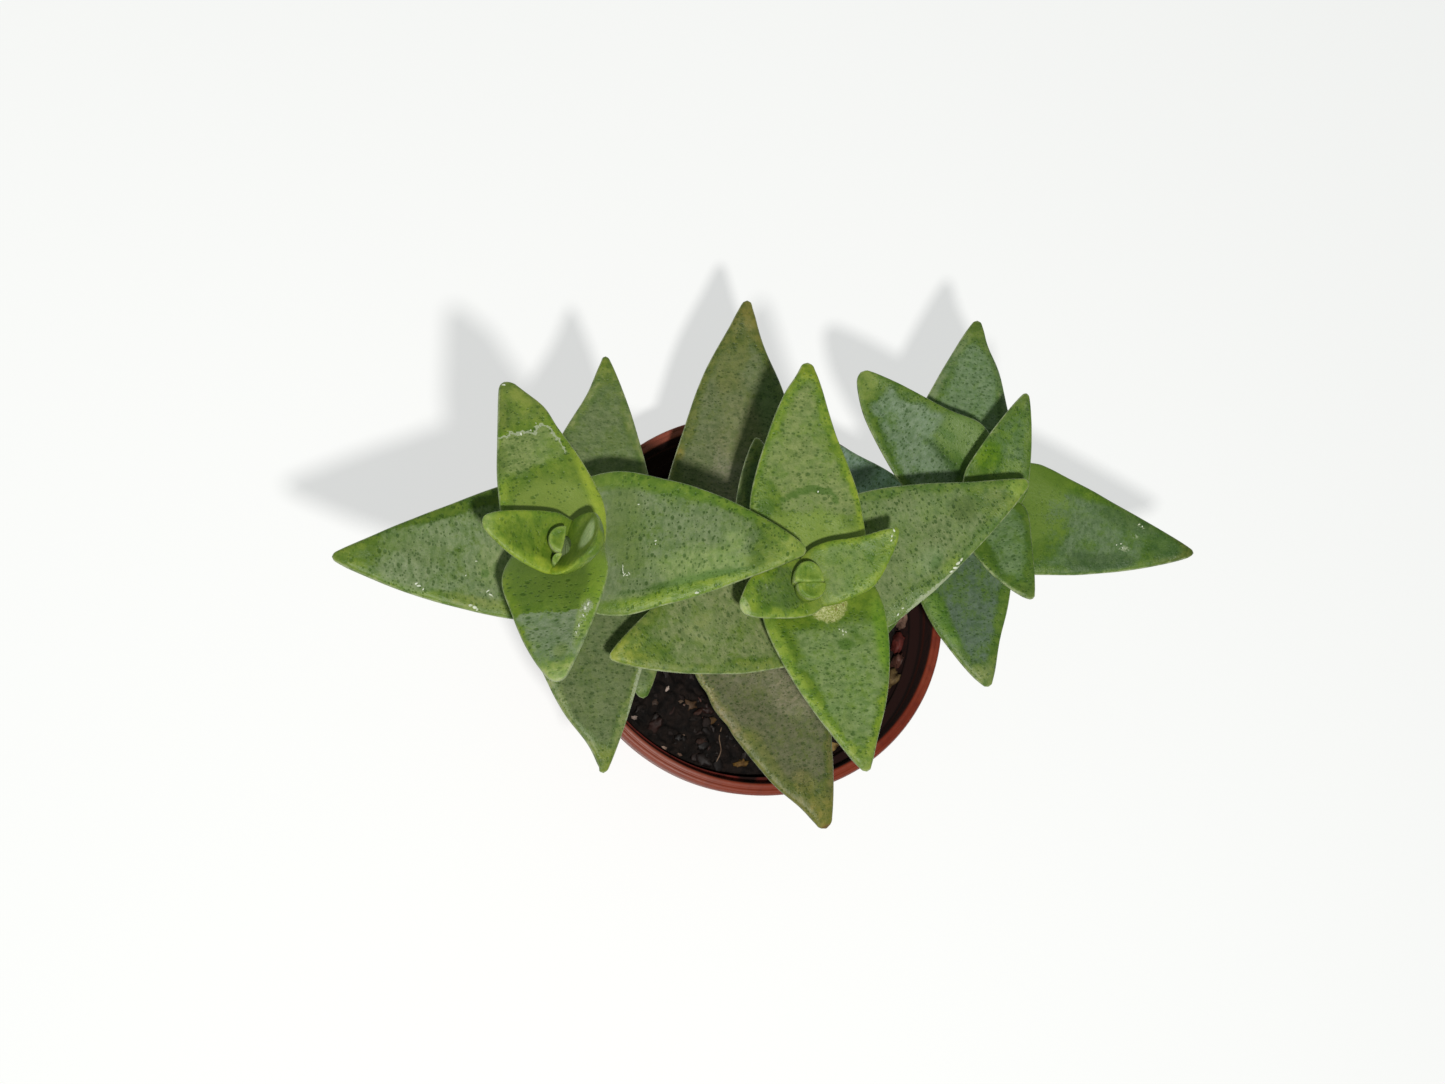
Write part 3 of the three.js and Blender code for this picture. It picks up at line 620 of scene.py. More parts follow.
def directions(blade, along):
    """Onwards, across and up at each place along a leaf."""
    turn = np.radians(blade["heading"] + blade["sweep"] * along)
    pitch = np.radians(blade["rise"] + blade["curl"] * along)
    roll = np.radians(blade["roll"])
    level = np.stack([-np.sin(turn), np.cos(turn), 0 * turn], -1)
    onwards = np.stack(
        [np.cos(pitch) * np.cos(turn), np.cos(pitch) * np.sin(turn), np.sin(pitch)], -1)
    across = level * np.cos(roll) + np.cross(onwards, level) * np.sin(roll)
    return onwards, across, np.cross(onwards, across)


def middle_line(blade, node, along):
    """The middle of a leaf: its onward direction added up from the node."""
    onwards, _, _ = directions(blade, (np.arange(LINE_STEPS) + 0.5) / LINE_STEPS)
    line = np.vstack([np.zeros(3), np.cumsum(onwards, 0) / LINE_STEPS]) * blade["length"]
    return node + along_line(along, np.linspace(0, 1, LINE_STEPS + 1), line)


def leaf_surface(blade, node, along, angles, seed):
    """The places of a leaf's rings, one row for each place along it, and their grid.

    The grid holds what the skin follows: how far along, across and into the leaf each place
    lies, in shares and in mm, its distance from the rim, and whether it is on the upper side.
    """
    _, across, up = directions(blade, along)
    centre = middle_line(blade, node, along)
    length, tip_radius = blade["length"], blade["end"]
    along = along[:, None]
    sideways = np.cos(angles)[None, :]

    # half the width, with a slight ripple, the nips and a round tip
    past_tip = length / (length + TIP_LENGTHS * tip_radius)
    ripple = noise(along * length / RIPPLE_LENGTH + seed, along * 0 + seed * 0.37, seed) - 0.5
    half = blade["width"] / 2 * outline(blade, along * past_tip) + 0 * sideways
    half = half * (1 + RIPPLE * ripple * smooth(along, 0.05, 0.3) * smooth(along, 1.0, 0.9))
    for side, at, reach, depth in blade["nips"]:
        fall = depth * np.exp(-((along - at) / reach) ** 2) * smooth(along, 1.0, 0.97)
        half = half - fall * (side * sideways > 0)
    left = np.minimum((1 - along) * length / tip_radius, 1)
    half = half * np.sqrt(left * (2 - left))

    # thickness above and below the middle, thinning out to the margin and the tip
    thickness = THICKNESS + THICKNESS_GAIN * length
    thickness = thickness * (EVEN_THICKNESS + (1 - EVEN_THICKNESS) * outline(blade, along))
    thickness = thickness * np.sqrt(np.clip((1 - along) / TIP_THINNING, 0, 1))
    top = np.sin(angles)[None, :] > 1e-9
    margin = np.sqrt(np.clip(1 - np.abs(sideways) ** 3, 0, 1))
    off = thickness * np.where(top, TOP_SHARE, TOP_SHARE - 1) * margin

    # low relief and lumps
    wide = half * sideways
    long = along * length + 0 * wide
    swell = noise(long / SWELL_LENGTH + seed * 5.3, wide / SWELL_WIDTH + seed * 1.7, seed + 3) - 0.5
    swell += 0.5 * (noise(long / FINE_SWELL, wide / FINE_SWELL + seed, seed + 7) - 0.5)
    rise = SWELL * swell * margin * smooth(along, 0.02, 0.15) * smooth(along, 1.0, 0.85)
    for at, side, long_reach, wide_reach, height in blade["lump"]:
        away = np.hypot((along - at) / long_reach, (sideways - side) / wide_reach)
        rise = rise + height * np.exp(-(away ** 2)) * margin * top
    lift = blade["cup"] * half * sideways ** 2 + off + rise * np.where(top, 1, SWELL_BELOW)
    places = (centre[:, None] + across[:, None] * wide[..., None]
              + up[:, None] * lift[..., None])
    rim = np.minimum((1 - np.abs(sideways)) * half, (1 - along) * length * 0.6)
    grid = dict(along=along + 0 * wide, wide=wide, long=long, off=off, half=half,
                sideways=sideways + 0 * wide, rim=rim, top=top + 0 * wide)
    return places, grid


def skin(blade, grid, seed):
    """The colours and the masks of a leaf's skin."""
    along, rim, top = grid["along"], grid["rim"], grid["top"]
    wander = noise(grid["long"] / 2.5 + seed, grid["wide"] / 2.5, seed + 11) - 0.5
    near = along + 0.1 * wander

    def cover(at, side, long, wide, strength):
        """How far a spot covers each place, with a wandering border."""
        reach = np.hypot((along - at) / long, (grid["sideways"] - side) / wide)
        return smooth(reach + 0.5 * wander, 1.3, 0.7) * top * strength

    base = smooth(along + 0.12 * wander, 0.34, 0.06)
    tone = painted(blade["skin"], along)
    powder = painted(blade["powder"], along)
    for part, share in (("edge", smooth(rim + 0.7 * wander, 1.6, 0.4) * smooth(along, 0.0, 0.3)),
                        ("base", base), ("tip", smooth(along + 0.08 * wander, 0.8, 0.97)),
                        ("under", 0.4 * (1 - top))):
        tone = blended(tone, linear(blade[part]), share)
    for kind, *spot in blade["patches"]:
        if isinstance(kind, tuple):
            powder = blended(powder, linear(kind), cover(*spot))
            tone = blended(tone, linear(kind), cover(*spot))
        else:
            tone = blended(tone, linear(blade[kind]), cover(*spot))

    start, stop, inset, amount = blade["bloom"]
    bloom = (smooth(near, start - 0.05, start + 0.05) * smooth(near, stop + 0.05, stop - 0.05)
             * smooth(rim + 1.2 * wander, inset - 0.7, inset + 0.6) * amount)
    bloom = np.maximum(bloom, 0.5 * (1 - top) * (amount > 0))
    for spot in blade["bare"]:
        bloom = bloom * (1 - cover(*spot))
    values = dict(tone=tone, powder=powder, bloom=bloom, front=NO_FRONT + 0 * along,
                  dots=blade["dots"] * smooth(near, 0.1, 0.3) * smooth(along, 1.0, 0.93),
                  crest=0 * along)
    for mask in ("shade", "calm", "frost", "scar"):
        values[mask] = 0.35 * base if mask == "calm" else 0 * along
        for spot in blade[mask]:
            values[mask] = np.maximum(values[mask], cover(*spot))
    if blade["front"]:
        at, way, side, inset, strength = blade["front"]
        ahead = np.maximum(way * (along - at) * blade["length"],
                           inset - (1 - side * grid["sideways"]) * grid["half"])
        values["front"] = np.where(top > 0, ahead, NO_FRONT)
        values["crest"] = strength * np.exp(-(ahead / 1.5) ** 2) * top * smooth(along, 0.42, 0.6)
    return values


def leaf_rings(blade, node, seed, steps, sides):
    """A leaf's rings and their skin values, from the node's ring to a tiny one at the tip."""
    spread = np.linspace(0, 1, steps + 1)
    along = np.minimum(spread * 0.55 + 0.45 * np.sin(spread * np.pi / 2), LAST_RING)
    places, grid = leaf_surface(blade, node, along, -around(sides), seed)
    place = np.stack([grid["long"], grid["wide"], grid["off"] + seed * 9.7], -1)
    rim = grid["rim"] + 0.3 * (1 - blade["line"])
    return {**skin(blade, grid, seed), "rings": places, "place": place, "rim": rim}, along


def pair_mesh(growth, seed):
    """Both leaves of a joined pair in one closed shell, from tip to tip."""
    first, second = growth["leaves"]
    steps, sides = FINE_GRID if first["fine"] or second["fine"] else PLAIN_GRID
    values, along = leaf_rings(first, growth["node"], seed, steps, sides)
    others, _ = leaf_rings(second, growth["node"], seed + 1, steps, sides)
    values["place"] = values["place"] * (-1, 1, 1)
    others["place"] = others["place"] * (1, -1, 1)
    share = (1 - np.clip(along / JOIN_REACH, 0, 1)) ** 2
    # the second leaf's rings start from the other margin and run the other way round
    turned_round = (sides // 2 - np.arange(sides)) % sides
    for key, own in values.items():
        other = others[key][:, turned_round]
        shared = (own[:1] + other[:1]) / 2
        values[key] = np.concatenate([blended(own, shared, share)[:0:-1],
                                      blended(other, shared, share)])
    return values.pop("rings"), values


def button_mesh(button, seed):
    """A half disc with a soft rim, whose flat side faces its twin."""
    angles = around(BUTTON_SIDES)
    depth = button["depth"]
    share, height = np.array(BUTTON_RINGS).T[..., None]
    out = depth * np.sin(angles) * np.where(np.sin(angles) > 0, 1, BUTTON_BULGE)
    heart = BUTTON_HEART * depth
    flat = share * (button["width"] / 2 * np.cos(angles))
    outwards = heart + share * (out - heart)
    up = button["low"] + height * (button["high"] - button["low"]) + 0 * flat
    rim = np.where(height > 0.75, (1 - share) * depth + 0.02, 0.5) + 0 * flat
    grid = dict(along=0.5 + 0 * rim, rim=rim * 2, top=1 + 0 * rim, sideways=0 * rim,
                long=flat, wide=outwards)
    values = skin(button, grid, seed)
    values.update(place=np.stack([flat, outwards, up], -1) + seed, rim=rim)
    x, y = spun(flat, outwards, np.radians(button["heading"] - 90))
    left, front = button["place"]
    return np.stack([x + left, y + front, up + SOIL_LEVEL], -1), values


# ------------------------------------------------------------------ stems


def hermite_path(points, steps):
    """The centripetal Catmull-Rom curve through the points, as many places along it."""
    points = [np.asarray(p, float) for p in points]
    points = [2 * points[0] - points[1], *points, 2 * points[-1] - points[-2]]
    line = []
    for index in range(1, len(points) - 2):
        p0, p1, p2, p3 = points[index - 1:index + 3]
        d0, d1, d2 = (np.linalg.norm(b - a) ** 0.5 for a, b in ((p0, p1), (p1, p2), (p2, p3)))
        leave = ((p1 - p0) / d0 - (p2 - p0) / (d0 + d1) + (p2 - p1) / d1) * d1
        reach = ((p2 - p1) / d1 - (p3 - p1) / (d1 + d2) + (p3 - p2) / d2) * d1
        t = np.linspace(0, 1, steps, endpoint=index == len(points) - 3)[:, None]
        line.append(p1 * (2 * t ** 3 - 3 * t ** 2 + 1) + leave * (t ** 3 - 2 * t ** 2 + t)
                    + p2 * (3 * t ** 2 - 2 * t ** 3) + reach * (t ** 3 - t ** 2))
    return np.concatenate(line)


def foot_of(ground, depth):
    """The place that a stem reaches at a depth in the soil."""
    return ground * (FOOT_LEAN, FOOT_LEAN, 1) - (0, 0, depth)


def stalk(stem, seed):
    """Rings of the stem, with a slight collar at each node and rings of old leaf scars."""
    foot = foot_of(stem["ground"], STEM_DEPTH)
    nodes = [growth["node"] for growth in stem["pairs"]]
    line = hermite_path([foot, (foot + stem["ground"]) / 2, stem["ground"], *nodes],
                        STEM_POINTS)
    travelled = np.append(0, np.cumsum(np.linalg.norm(np.diff(line, axis=0), axis=1)))
    marks = np.linspace(0, travelled[-1], int(travelled[-1] / STEM_STEP))
    centre = along_line(marks, travelled, line)
    radius = np.interp(marks, [0, travelled[-1]], stem["girth"])
    for node in nodes:
        away = np.linalg.norm(centre - node, axis=1)
        radius = radius * (1 + NODE_SWELL * np.exp(-((away / NODE_REACH) ** 2)))
    scars = noise(marks / 0.9, marks * 0 + seed, seed) - 0.5
    angles = around(STEM_SIDES)
    bark = noise(marks[:, None] / 0.8, np.cos(angles) * 2 + np.sin(angles) + seed, seed + 2) - 0.5
    wide = radius[:, None] * (1 + SCAR_DEPTH * scars[:, None] + BARK_DEPTH * bark)
    wide[0] *= POINTED_FOOT
    zero = 0 * wide
    height = (centre[:, 2] - SOIL_LEVEL)[:, None] + zero
    green = smooth(height + 6 * bark, 0, GREEN_HEIGHT)
    tone = blended(painted(BARK_BELOW, wide), linear(BARK_ABOVE), green)
    values = {mask: zero for mask in ("dots", "bloom", "scar", "shade", "frost", "calm", "crest")}
    values.update(tone=tone, powder=tone, front=zero + NO_FRONT, rim=zero + FAR_FROM_RIM,
                  place=np.stack([height, wide * angles, zero + seed], -1))
    return tube(centre, wide, STEM_SIDES), values


# ------------------------------------------------------------------ meshes


def fill(items, key, values, kind=np.float32):
    items.foreach_set(key, np.ascontiguousarray(values, kind).ravel())


def build_piece(name, shells, materials):
    """A mesh object in metres, from closed shells: rings in mm, their values, material number.

    Each shell's faces run from ring to ring, and its two ends are closed by a flat face.
    """
    points, corners, totals, slots, values = [], [], [], [], {}
    first = 0
    for rings, own, slot in shells:
        count, sides = rings.shape[:2]
        at = first + np.arange(count * sides).reshape(count, sides)
        after = np.roll(at, -1, axis=1)
        quads = np.stack([at[:-1], at[1:], after[1:], after[:-1]], -1)
        corners += [quads.ravel(), at[0], at[-1][::-1]]
        totals += [4] * quads[..., 0].size + [sides, sides]
        slots += [slot] * (quads[..., 0].size + 2)
        points.append(rings.reshape(-1, 3))
        for key, value in own.items():
            values.setdefault(key, []).append(value.reshape(count * sides, -1))
        first += count * sides
    corners = np.concatenate(corners)
    mesh = bpy.data.meshes.new(name)
    for material in materials:
        mesh.materials.append(material)
    mesh.vertices.add(first)
    mesh.loops.add(len(corners))
    mesh.polygons.add(len(totals))
    fill(mesh.vertices, "co", np.concatenate(points) * MM)
    fill(mesh.loops, "vertex_index", corners, np.int32)
    fill(mesh.polygons, "loop_start", np.cumsum([0] + totals[:-1]), np.int32)
    fill(mesh.polygons, "loop_total", totals, np.int32)
    fill(mesh.polygons, "material_index", slots, np.int32)
    fill(mesh.polygons, "use_smooth", np.ones(len(totals)), bool)
    mesh.update(calc_edges=True)
    for key, value in values.items():
        value = np.concatenate(value)
        kind, held = ("FLOAT", "value") if value.shape[1] == 1 else ("FLOAT_VECTOR", "vector")
        if key in ("tone", "powder"):
            kind, held = "FLOAT_COLOR", "color"
            value = np.hstack([value, np.ones((first, 1))])
        fill(mesh.attributes.new(key, kind, "POINT").data, held, value)
    mesh.validate()
    piece = bpy.data.objects.new(name, mesh)
    bpy.context.scene.collection.objects.link(piece)
    return piece


def seed_of(which, number=0, side=0):
    """The seed of a leaf's noise, by its stem, its pair and its side."""
    return 3 + 40 * which + 2 * number + side


def stem_piece(which, materials):
    """A stem with all its leaves as one mesh of closed shells."""
    stem = STEMS[which]
    shells = []
    for number, growth in enumerate(stem["pairs"]):
        if growth["joined"]:
            shells.append((*pair_mesh(growth, seed_of(which, number)), 0))
        else:
            for side, button in enumerate(growth["leaves"]):
                shells.append((*button_mesh(button, seed_of(which, number, side)), 0))
    shells.append((*stalk(stem, seed_of(which)), 1))
    piece = build_piece(stem["name"], shells, materials)
    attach(piece, "root")
    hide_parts(stem["node"])


# ------------------------------------------------------------------ materials


def put(value, socket):
    """Links a Value to a node's socket, or sets a number, a vector or a colour there."""
    if isinstance(value, Value):
        socket.id_data.links.new(value.socket, socket)
    elif socket.type == "RGBA" and len(value) == 3:
        socket.default_value = (*value, 1.0)
    else:
        socket.default_value = value


class Value:
    """What a node gives. Sums, products and the calls below add the nodes that work them out."""

    def __init__(self, socket):
        self.socket = socket

    def node(self, kind, inputs, output=0, **settings):
        made = self.socket.id_data.nodes.new(kind)
        for key, value in settings.items():
            setattr(made, key, value)
        for key, value in inputs.items():
            put(value, made.inputs[key])
        return Value(made.outputs[output])

    def outputs(self):
        """All that the same node gives."""
        return [Value(socket) for socket in self.socket.node.outputs]

    def math(self, operation, first, second=0.0):
        return self.node("ShaderNodeMath", {0: first, 1: second}, operation=operation)

    def __add__(self, other):
        return self.math("ADD", self, other)

    def __sub__(self, other):
        return self.math("SUBTRACT", self, other)

    def __rsub__(self, other):
        return self.math("SUBTRACT", other, self)

    def __mul__(self, other):
        return self.math("MULTIPLY", self, other)

    def __abs__(self):
        return self.math("ABSOLUTE", self)

    def root(self):
        return self.math("SQRT", self)

    def most(self, other):
        return self.math("MAXIMUM", self, other)

    def centred(self, amount):
        """Noise from 0 to 1 as so much more or less than nothing."""
        return (self - 0.5) * amount

    def ramp(self, low, high, bottom=0.0, top=1.0):
        """Bottom at low, top at high, and eased between them. Low may be above high."""
        inputs = dict(enumerate((self, low, high, bottom, top)))
        return self.node("ShaderNodeMapRange", inputs, interpolation_type="SMOOTHSTEP")

    def tinted(self, tint):
        return mix(1.0, self, tint, "MULTIPLY")

    def scaled(self, by):
        return self.node("ShaderNodeVectorMath", {0: self, 1: by}, operation="MULTIPLY")

    def noise(self, scale, detail=3.0, rough=0.5):
        inputs = dict(Vector=self, Scale=scale, Detail=detail, Roughness=rough)
        return self.node("ShaderNodeTexNoise", inputs, "Fac")

    def cells(self, scale, randomness):
        """The distance to the nearest of scattered points."""
        inputs = dict(Vector=self, Scale=scale, Randomness=randomness)
        return self.node("ShaderNodeTexVoronoi", inputs, "Distance")


def mix(share, first, second, blend="MIX"):
    """The first colour drawn towards the second, or blended with it in another way."""
    held = next(item for item in (share, first, second) if isinstance(item, Value))
    return held.node("ShaderNodeMix", {0: share, 6: first, 7: second}, 2, data_type="RGBA",
                     blend_type=blend)


class Material:
    """A material, with what its nodes start from and where they end."""

    def __init__(self, name):
        self.material = bpy.data.materials.new(name)
        self.material.use_nodes = True
        self.nodes = self.material.node_tree.nodes

    def attribute(self, name, output="Fac"):
        made = self.nodes.new("ShaderNodeAttribute")
        made.attribute_name = name
        return Value(made.outputs[output])

    def where(self):
        return Value(self.nodes.new("ShaderNodeTexCoord").outputs["Object"])

    def finish(self, colour, roughness, bump=None, **constants):
        """Fills the surface. Bump is a height, its strength and its distance in metres."""
        surface = self.nodes["Principled BSDF"].inputs
        put(colour, surface["Base Color"])
        put(roughness, surface["Roughness"])
        if bump:
            inputs = dict(zip(("Height", "Strength", "Distance"), bump))
            put(bump[0].node("ShaderNodeBump", inputs), surface["Normal"])
        for key, value in constants.items():
            put(value, surface[key.replace("_", " ")])
        return self.material

    def grained(self, grain, light, dark, bump=None):
        """Two colours and a roughness that follow one grain."""
        return self.finish(mix(grain.ramp(0.35, 0.65), light, dark),
                           grain.ramp(0.3, 0.7, 0.6, 0.8), bump)


def leaf_material():
    """Waxy leaf skin: powdery bloom over green, dark dots, mottling and a pale edge."""
    made = Material("leaf_skin")
    masks = ("rim", "bloom", "front", "calm", "dots", "shade", "scar", "frost", "crest")
    rim, bloom, front, calm, dots, shade, scar, frost, crest = map(made.attribute, masks)
    place = made.attribute("place", "Vector")
    tone = made.attribute("tone", "Color")
    powder = made.attribute("powder", "Color")
    broad = place.noise(0.3, 2.0)
    patchy = place.noise(0.85, 3.0, 0.55)
    streaky = place.scaled((1.3, 0.7, 1.0)).noise(1.5, 3.0, 0.6)
    fine = place.noise(2.7, 3.0, 0.65)
    grain = place.noise(7.0, 2.0)

    # bare skin: green with darker and yellower blotches
    colour = mix(patchy.ramp(0.38, 0.62), tone.tinted((1.3, 1.22, 1.1)),
                 tone.tinted((0.86, 0.94, 0.8)))
    colour = mix(streaky.ramp(0.46, 0.66, 0.0, 0.75), colour, colour.tinted((0.7, 0.82, 0.56)))

    # bloom, which thins out into specks
    cover = bloom + patchy.centred(0.9) + fine.centred(1.3) + broad.centred(1.2)
    border = (cover * (1.0 - cover)).ramp(0.05, 0.25)
    jagged = front + patchy.centred(2.2) + fine.centred(0.7)
    cover = cover.ramp(0.2, 1.1) * jagged.ramp(0.1, -0.1)
    dusty = powder
    for wave, low, light, dark in (
            (broad, 0.38, (1.08, 1.06, 1.06), (0.94, 0.93, 0.86)),
            (patchy, 0.4, (1.06, 1.05, 1.07), (0.93, 0.95, 0.9)),
            (streaky, 0.34, (1.28, 1.22, 1.3), (0.8, 0.88, 0.74)),
            (fine, 0.38, (1.14, 1.12, 1.2), (0.91, 0.95, 0.86))):
        dusty = mix(wave.ramp(low, 1 - low), dusty.tinted(light), dusty.tinted(dark))
    colour = mix(cover * 0.92, colour, dusty)
    colour = mix(border * 0.65, colour, colour.tinted((0.76, 0.86, 0.6)))
    colour = mix(calm * 0.85, colour, mix(cover, tone, powder))

    # dark dots, thicker in some parts than in others
    spots = 0.0
    for stretch, scale, size, chance in (((1.15, 0.8, 1.0), 1.3, 0.22, 0.25),
                                         ((1.3, 0.7, 1.0), 1.8, 0.22, 0.4),
                                         ((1.1, 0.8, 1.0), 2.9, 0.24, 0.45)):
        distance = place.scaled(stretch).cells(scale, 0.9)
        kind = distance.outputs()[1]
        red, green, _ = kind.node("ShaderNodeSeparateColor", {0: kind}).outputs()
        spot = (red * (size * 0.7) + size * 0.5 - distance).ramp(-0.09, 0.06)
        likely = green + broad.centred(1.6) + patchy.centred(1.0) + border * 0.3
        spots = (spot * likely.ramp(chance, chance + 0.25)).most(spots)
    spots = spots * dots
    colour = mix(spots * 0.8, colour, mix(0.5, tone, colour).tinted((0.42, 0.56, 0.36)))

    # bruised and shaded, healed and crumbly places: shade holds bruises and painted shade in
    # grooves and folds
    colour = mix((shade + fine.centred(0.3)).ramp(0.1, 0.9), colour,
                 mix(0.5, colour, tone).tinted((0.6, 0.76, 0.5)))
    healed = mix(grain.ramp(0.35, 0.65), rgb(140, 148, 62), rgb(200, 200, 142))
    colour = mix((scar + fine.centred(0.8)).ramp(0.35, 0.75, 0.0, 0.75), colour, healed)
    crumbs = place.cells(3.4, 1.0).ramp(0.24, 0.1, 0.0, 0.35)
    ridge = abs(jagged).ramp(0.22, 0.06) * crest
    behind = jagged.ramp(-1.3, -0.1) * jagged.ramp(0.1, 0.0) * crest
    frost = frost + fine.centred(0.9) + grain.centred(1.2) + crumbs + ridge * 1.2 + behind * 0.45
    colour = mix(frost.ramp(0.65, 1.1, 0.0, 0.8), colour, rgb(172, 180, 150))
    line = (rim + fine.centred(0.25)).ramp(0.17, 0.03) * patchy.ramp(0.35, 0.62, 0.75, 0.15)
    colour = mix(line, colour, rgb(162, 172, 128))

    height = grain * 0.25 + fine * 0.6 - spots * 0.5
    return made.finish(colour, cover.ramp(0.0, 1.0, 0.42, 0.62), (height, 0.6, 0.00015),
                       Subsurface_Weight=0.1, Subsurface_Radius=(0.7, 1.0, 0.35),
                       Subsurface_Scale=0.0008, Specular_IOR_Level=0.3)


def stem_material():
    """Woody green-brown stem with fine lengthwise cracks."""
    made = Material("stem_bark")
    tone = made.attribute("tone", "Color")
    streaks = made.attribute("place", "Vector").scaled((0.35, 2.0, 1.0)).noise(1.4, 4.0)
    return made.grained(streaks, tone, tone.tinted((0.55, 0.5, 0.45)), (streaks, 0.5, 0.0002))


def pot_material():
    """Brick-red moulded plastic: scuffed, painted sheen on the left, peat dust and painted shade
    inside.
    """
    made = Material("pot_plastic")
    where = made.where()
    x, y, z = where.node("ShaderNodeSeparateXYZ", {0: where}).outputs()
    broad = where.noise(90.0, 4.0)
    fine = where.noise(900.0, 4.0, 0.6)
    scratches = where.scaled((1.0, 1.0, 7.0)).noise(420.0, 5.0, 0.7)
    colour = mix(broad.ramp(0.35, 0.65), rgb(110, 38, 22), rgb(124, 48, 28))
    colour = mix(scratches.ramp(0.5, 0.75, 0.0, 0.3), colour, rgb(140, 80, 58))
    colour = mix(fine.ramp(0.45, 0.7, 0.0, 0.35), colour, rgb(84, 30, 26))
    # painted sheen: lighter towards the left, the side nearest the lamp
    colour = mix(x.ramp(4 * MM, -16 * MM, 0.0, 0.35), colour, rgb(158, 96, 80))

    # inside: dark plastic, with peat dust and painted shade, and lighter red in places along the
    # ledge
    radius = (x * x + y * y).root()
    mouth = (RIM_RADIUS - LIP_WIDTH) * MM
    ledge = mouth - LEDGE_WIDTH / 4 * MM
    middle = (BASE_RADIUS - WALL / 2) * MM
    lean = (wall_radius(POT_HEIGHT) - BASE_RADIUS) / POT_HEIGHT
    on_ledge = (z.ramp((LEDGE_LINE - 0.1) * MM, LEDGE_LINE * MM)
                * radius.ramp(ledge + 0.2 * MM, ledge + 0.05 * MM))
    within = (radius - z * lean).ramp(middle + 0.2 * MM, middle - 0.2 * MM)
    inside = (z.ramp(0.5 * MM, 2 * MM) * radius.ramp(mouth + 0.25 * MM, mouth + 0.05 * MM)
              * within.most(on_ledge))
    dust_and_shade = mix(fine.ramp(0.35, 0.65), rgb(32, 11, 8), rgb(50, 19, 13))
    # painted shade: the ledge faces up and catches light, so it is painted darker still
    dust_and_shade = mix(on_ledge, dust_and_shade, rgb(31, 10, 7))
    red_patches = (broad.ramp(0.42, 0.5) * scratches.ramp(0.3, 0.5)
              * abs(z - LEDGE_LINE * MM).ramp(0.7 * MM, 0.3 * MM)
              * (x * 0.35 + y).ramp(-19 * MM, -22 * MM))
    dust_and_shade = mix(red_patches * 0.7, dust_and_shade, rgb(118, 40, 32))
    rough = broad.ramp(0.3, 0.7, 0.36, 0.52).most(inside)
    return made.finish(mix(inside, colour, dust_and_shade), rough, (fine, 0.25, 0.0002),
                       Specular_IOR_Level=0.28)


def peat_material():
    """Peat and bark: clumps of two browns with fibres."""
    made = Material("peat")
    clumps = made.where().noise(600.0, 6.0, 0.65)
    fibres = made.where().scaled((1.0, 0.25, 1.0)).noise(2400.0, 4.0, 0.7)
    colour = mix(clumps.ramp(0.35, 0.72), rgb(12, 9, 8), rgb(34, 25, 21))
    colour = mix(fibres.ramp(0.5, 0.75, 0.0, 0.6), colour, colour.tinted((1.7, 1.5, 1.3)))
    return made.finish(colour, fibres.ramp(0.3, 0.7, 0.75, 0.95), (clumps + fibres, 0.8, 0.0004),
                       Specular_IOR_Level=0.2)


def bits_material():
    """Bark, grit and pebbles, each with its own colour, grained and a little dusty."""
    made = Material("bark_and_grit")
    tone = made.attribute("tone", "Color")
    grain = made.where().scaled((1.0, 0.4, 1.6)).noise(1500.0, 4.0, 0.65)
    dust = made.where().noise(700.0, 3.0)
    colour = mix(grain.ramp(0.35, 0.65), tone, tone.tinted((0.45, 0.4, 0.36)))
    colour = mix(dust.ramp(0.55, 0.75, 0.0, 0.4), colour, rgb(36, 28, 24))
    return made.finish(colour, dust.ramp(0.3, 0.7, 0.55, 0.85), (grain, 0.7, 0.0002),
                       Specular_IOR_Level=0.3)


def root_material():
    made = Material("dry_root")
    return made.grained(made.where().noise(1200.0), rgb(120, 98, 78), rgb(82, 60, 46))


def fleck_material():
    made = Material("dry_flecks")
    tone = made.attribute("tone", "Color")
    return made.grained(made.where().noise(4000.0), tone, tone.tinted((0.7, 0.72, 0.6)))


def floor_material():
    made = Material("pale_floor")
    cloud = made.where().noise(3.0, 2.0)
    colour = mix(cloud.ramp(0.3, 0.7), (0.36, 0.36, 0.36), (0.38, 0.38, 0.38))
    return made.finish(colour, 0.9, Specular_IOR_Level=0.1, Emission_Color=(1, 1, 1),
                       Emission_Strength=0.61)


# ------------------------------------------------------------------ pot and soil


def wall_radius(height):
    """The outer radius of the pot's wall below the collar."""
    top = RIM_RADIUS - LIP_WIDTH - LEDGE_WIDTH + WALL
    return BASE_RADIUS + (top - BASE_RADIUS) * height / (POT_HEIGHT - COLLAR_HEIGHT)


def turned(profile, sides):
    """Rings of points from (radius, height) places. Radii above 0."""
    radius, height = np.array(profile, float).T[..., None]
    angles = around(sides)
    return np.stack([radius * np.cos(angles), radius * np.sin(angles), height + 0 * angles], -1)


def rounded(profile, radius, steps):
    """The same profile with each inner corner rounded off."""
    profile = np.array(profile, float)
    made = [profile[0]]
    for before, here, after in zip(profile, profile[1:], profile[2:]):
        back, on = before - here, after - here
        reach = min(radius, 0.45 * np.linalg.norm(back), 0.45 * np.linalg.norm(on))
        start, stop = here + unit(back) * reach, here + unit(on) * reach
        for t in np.linspace(0, 1, steps):
            made.append((1 - t) ** 2 * start + 2 * t * (1 - t) * here + t * t * stop)
    return [*made, profile[-1]]


def rod(bottom, top, radius, sides):
    """A plain cutter between two points."""
    return build_piece("cutter", [(tube(np.array([bottom, top]), radius, sides), {}, 0)], [])


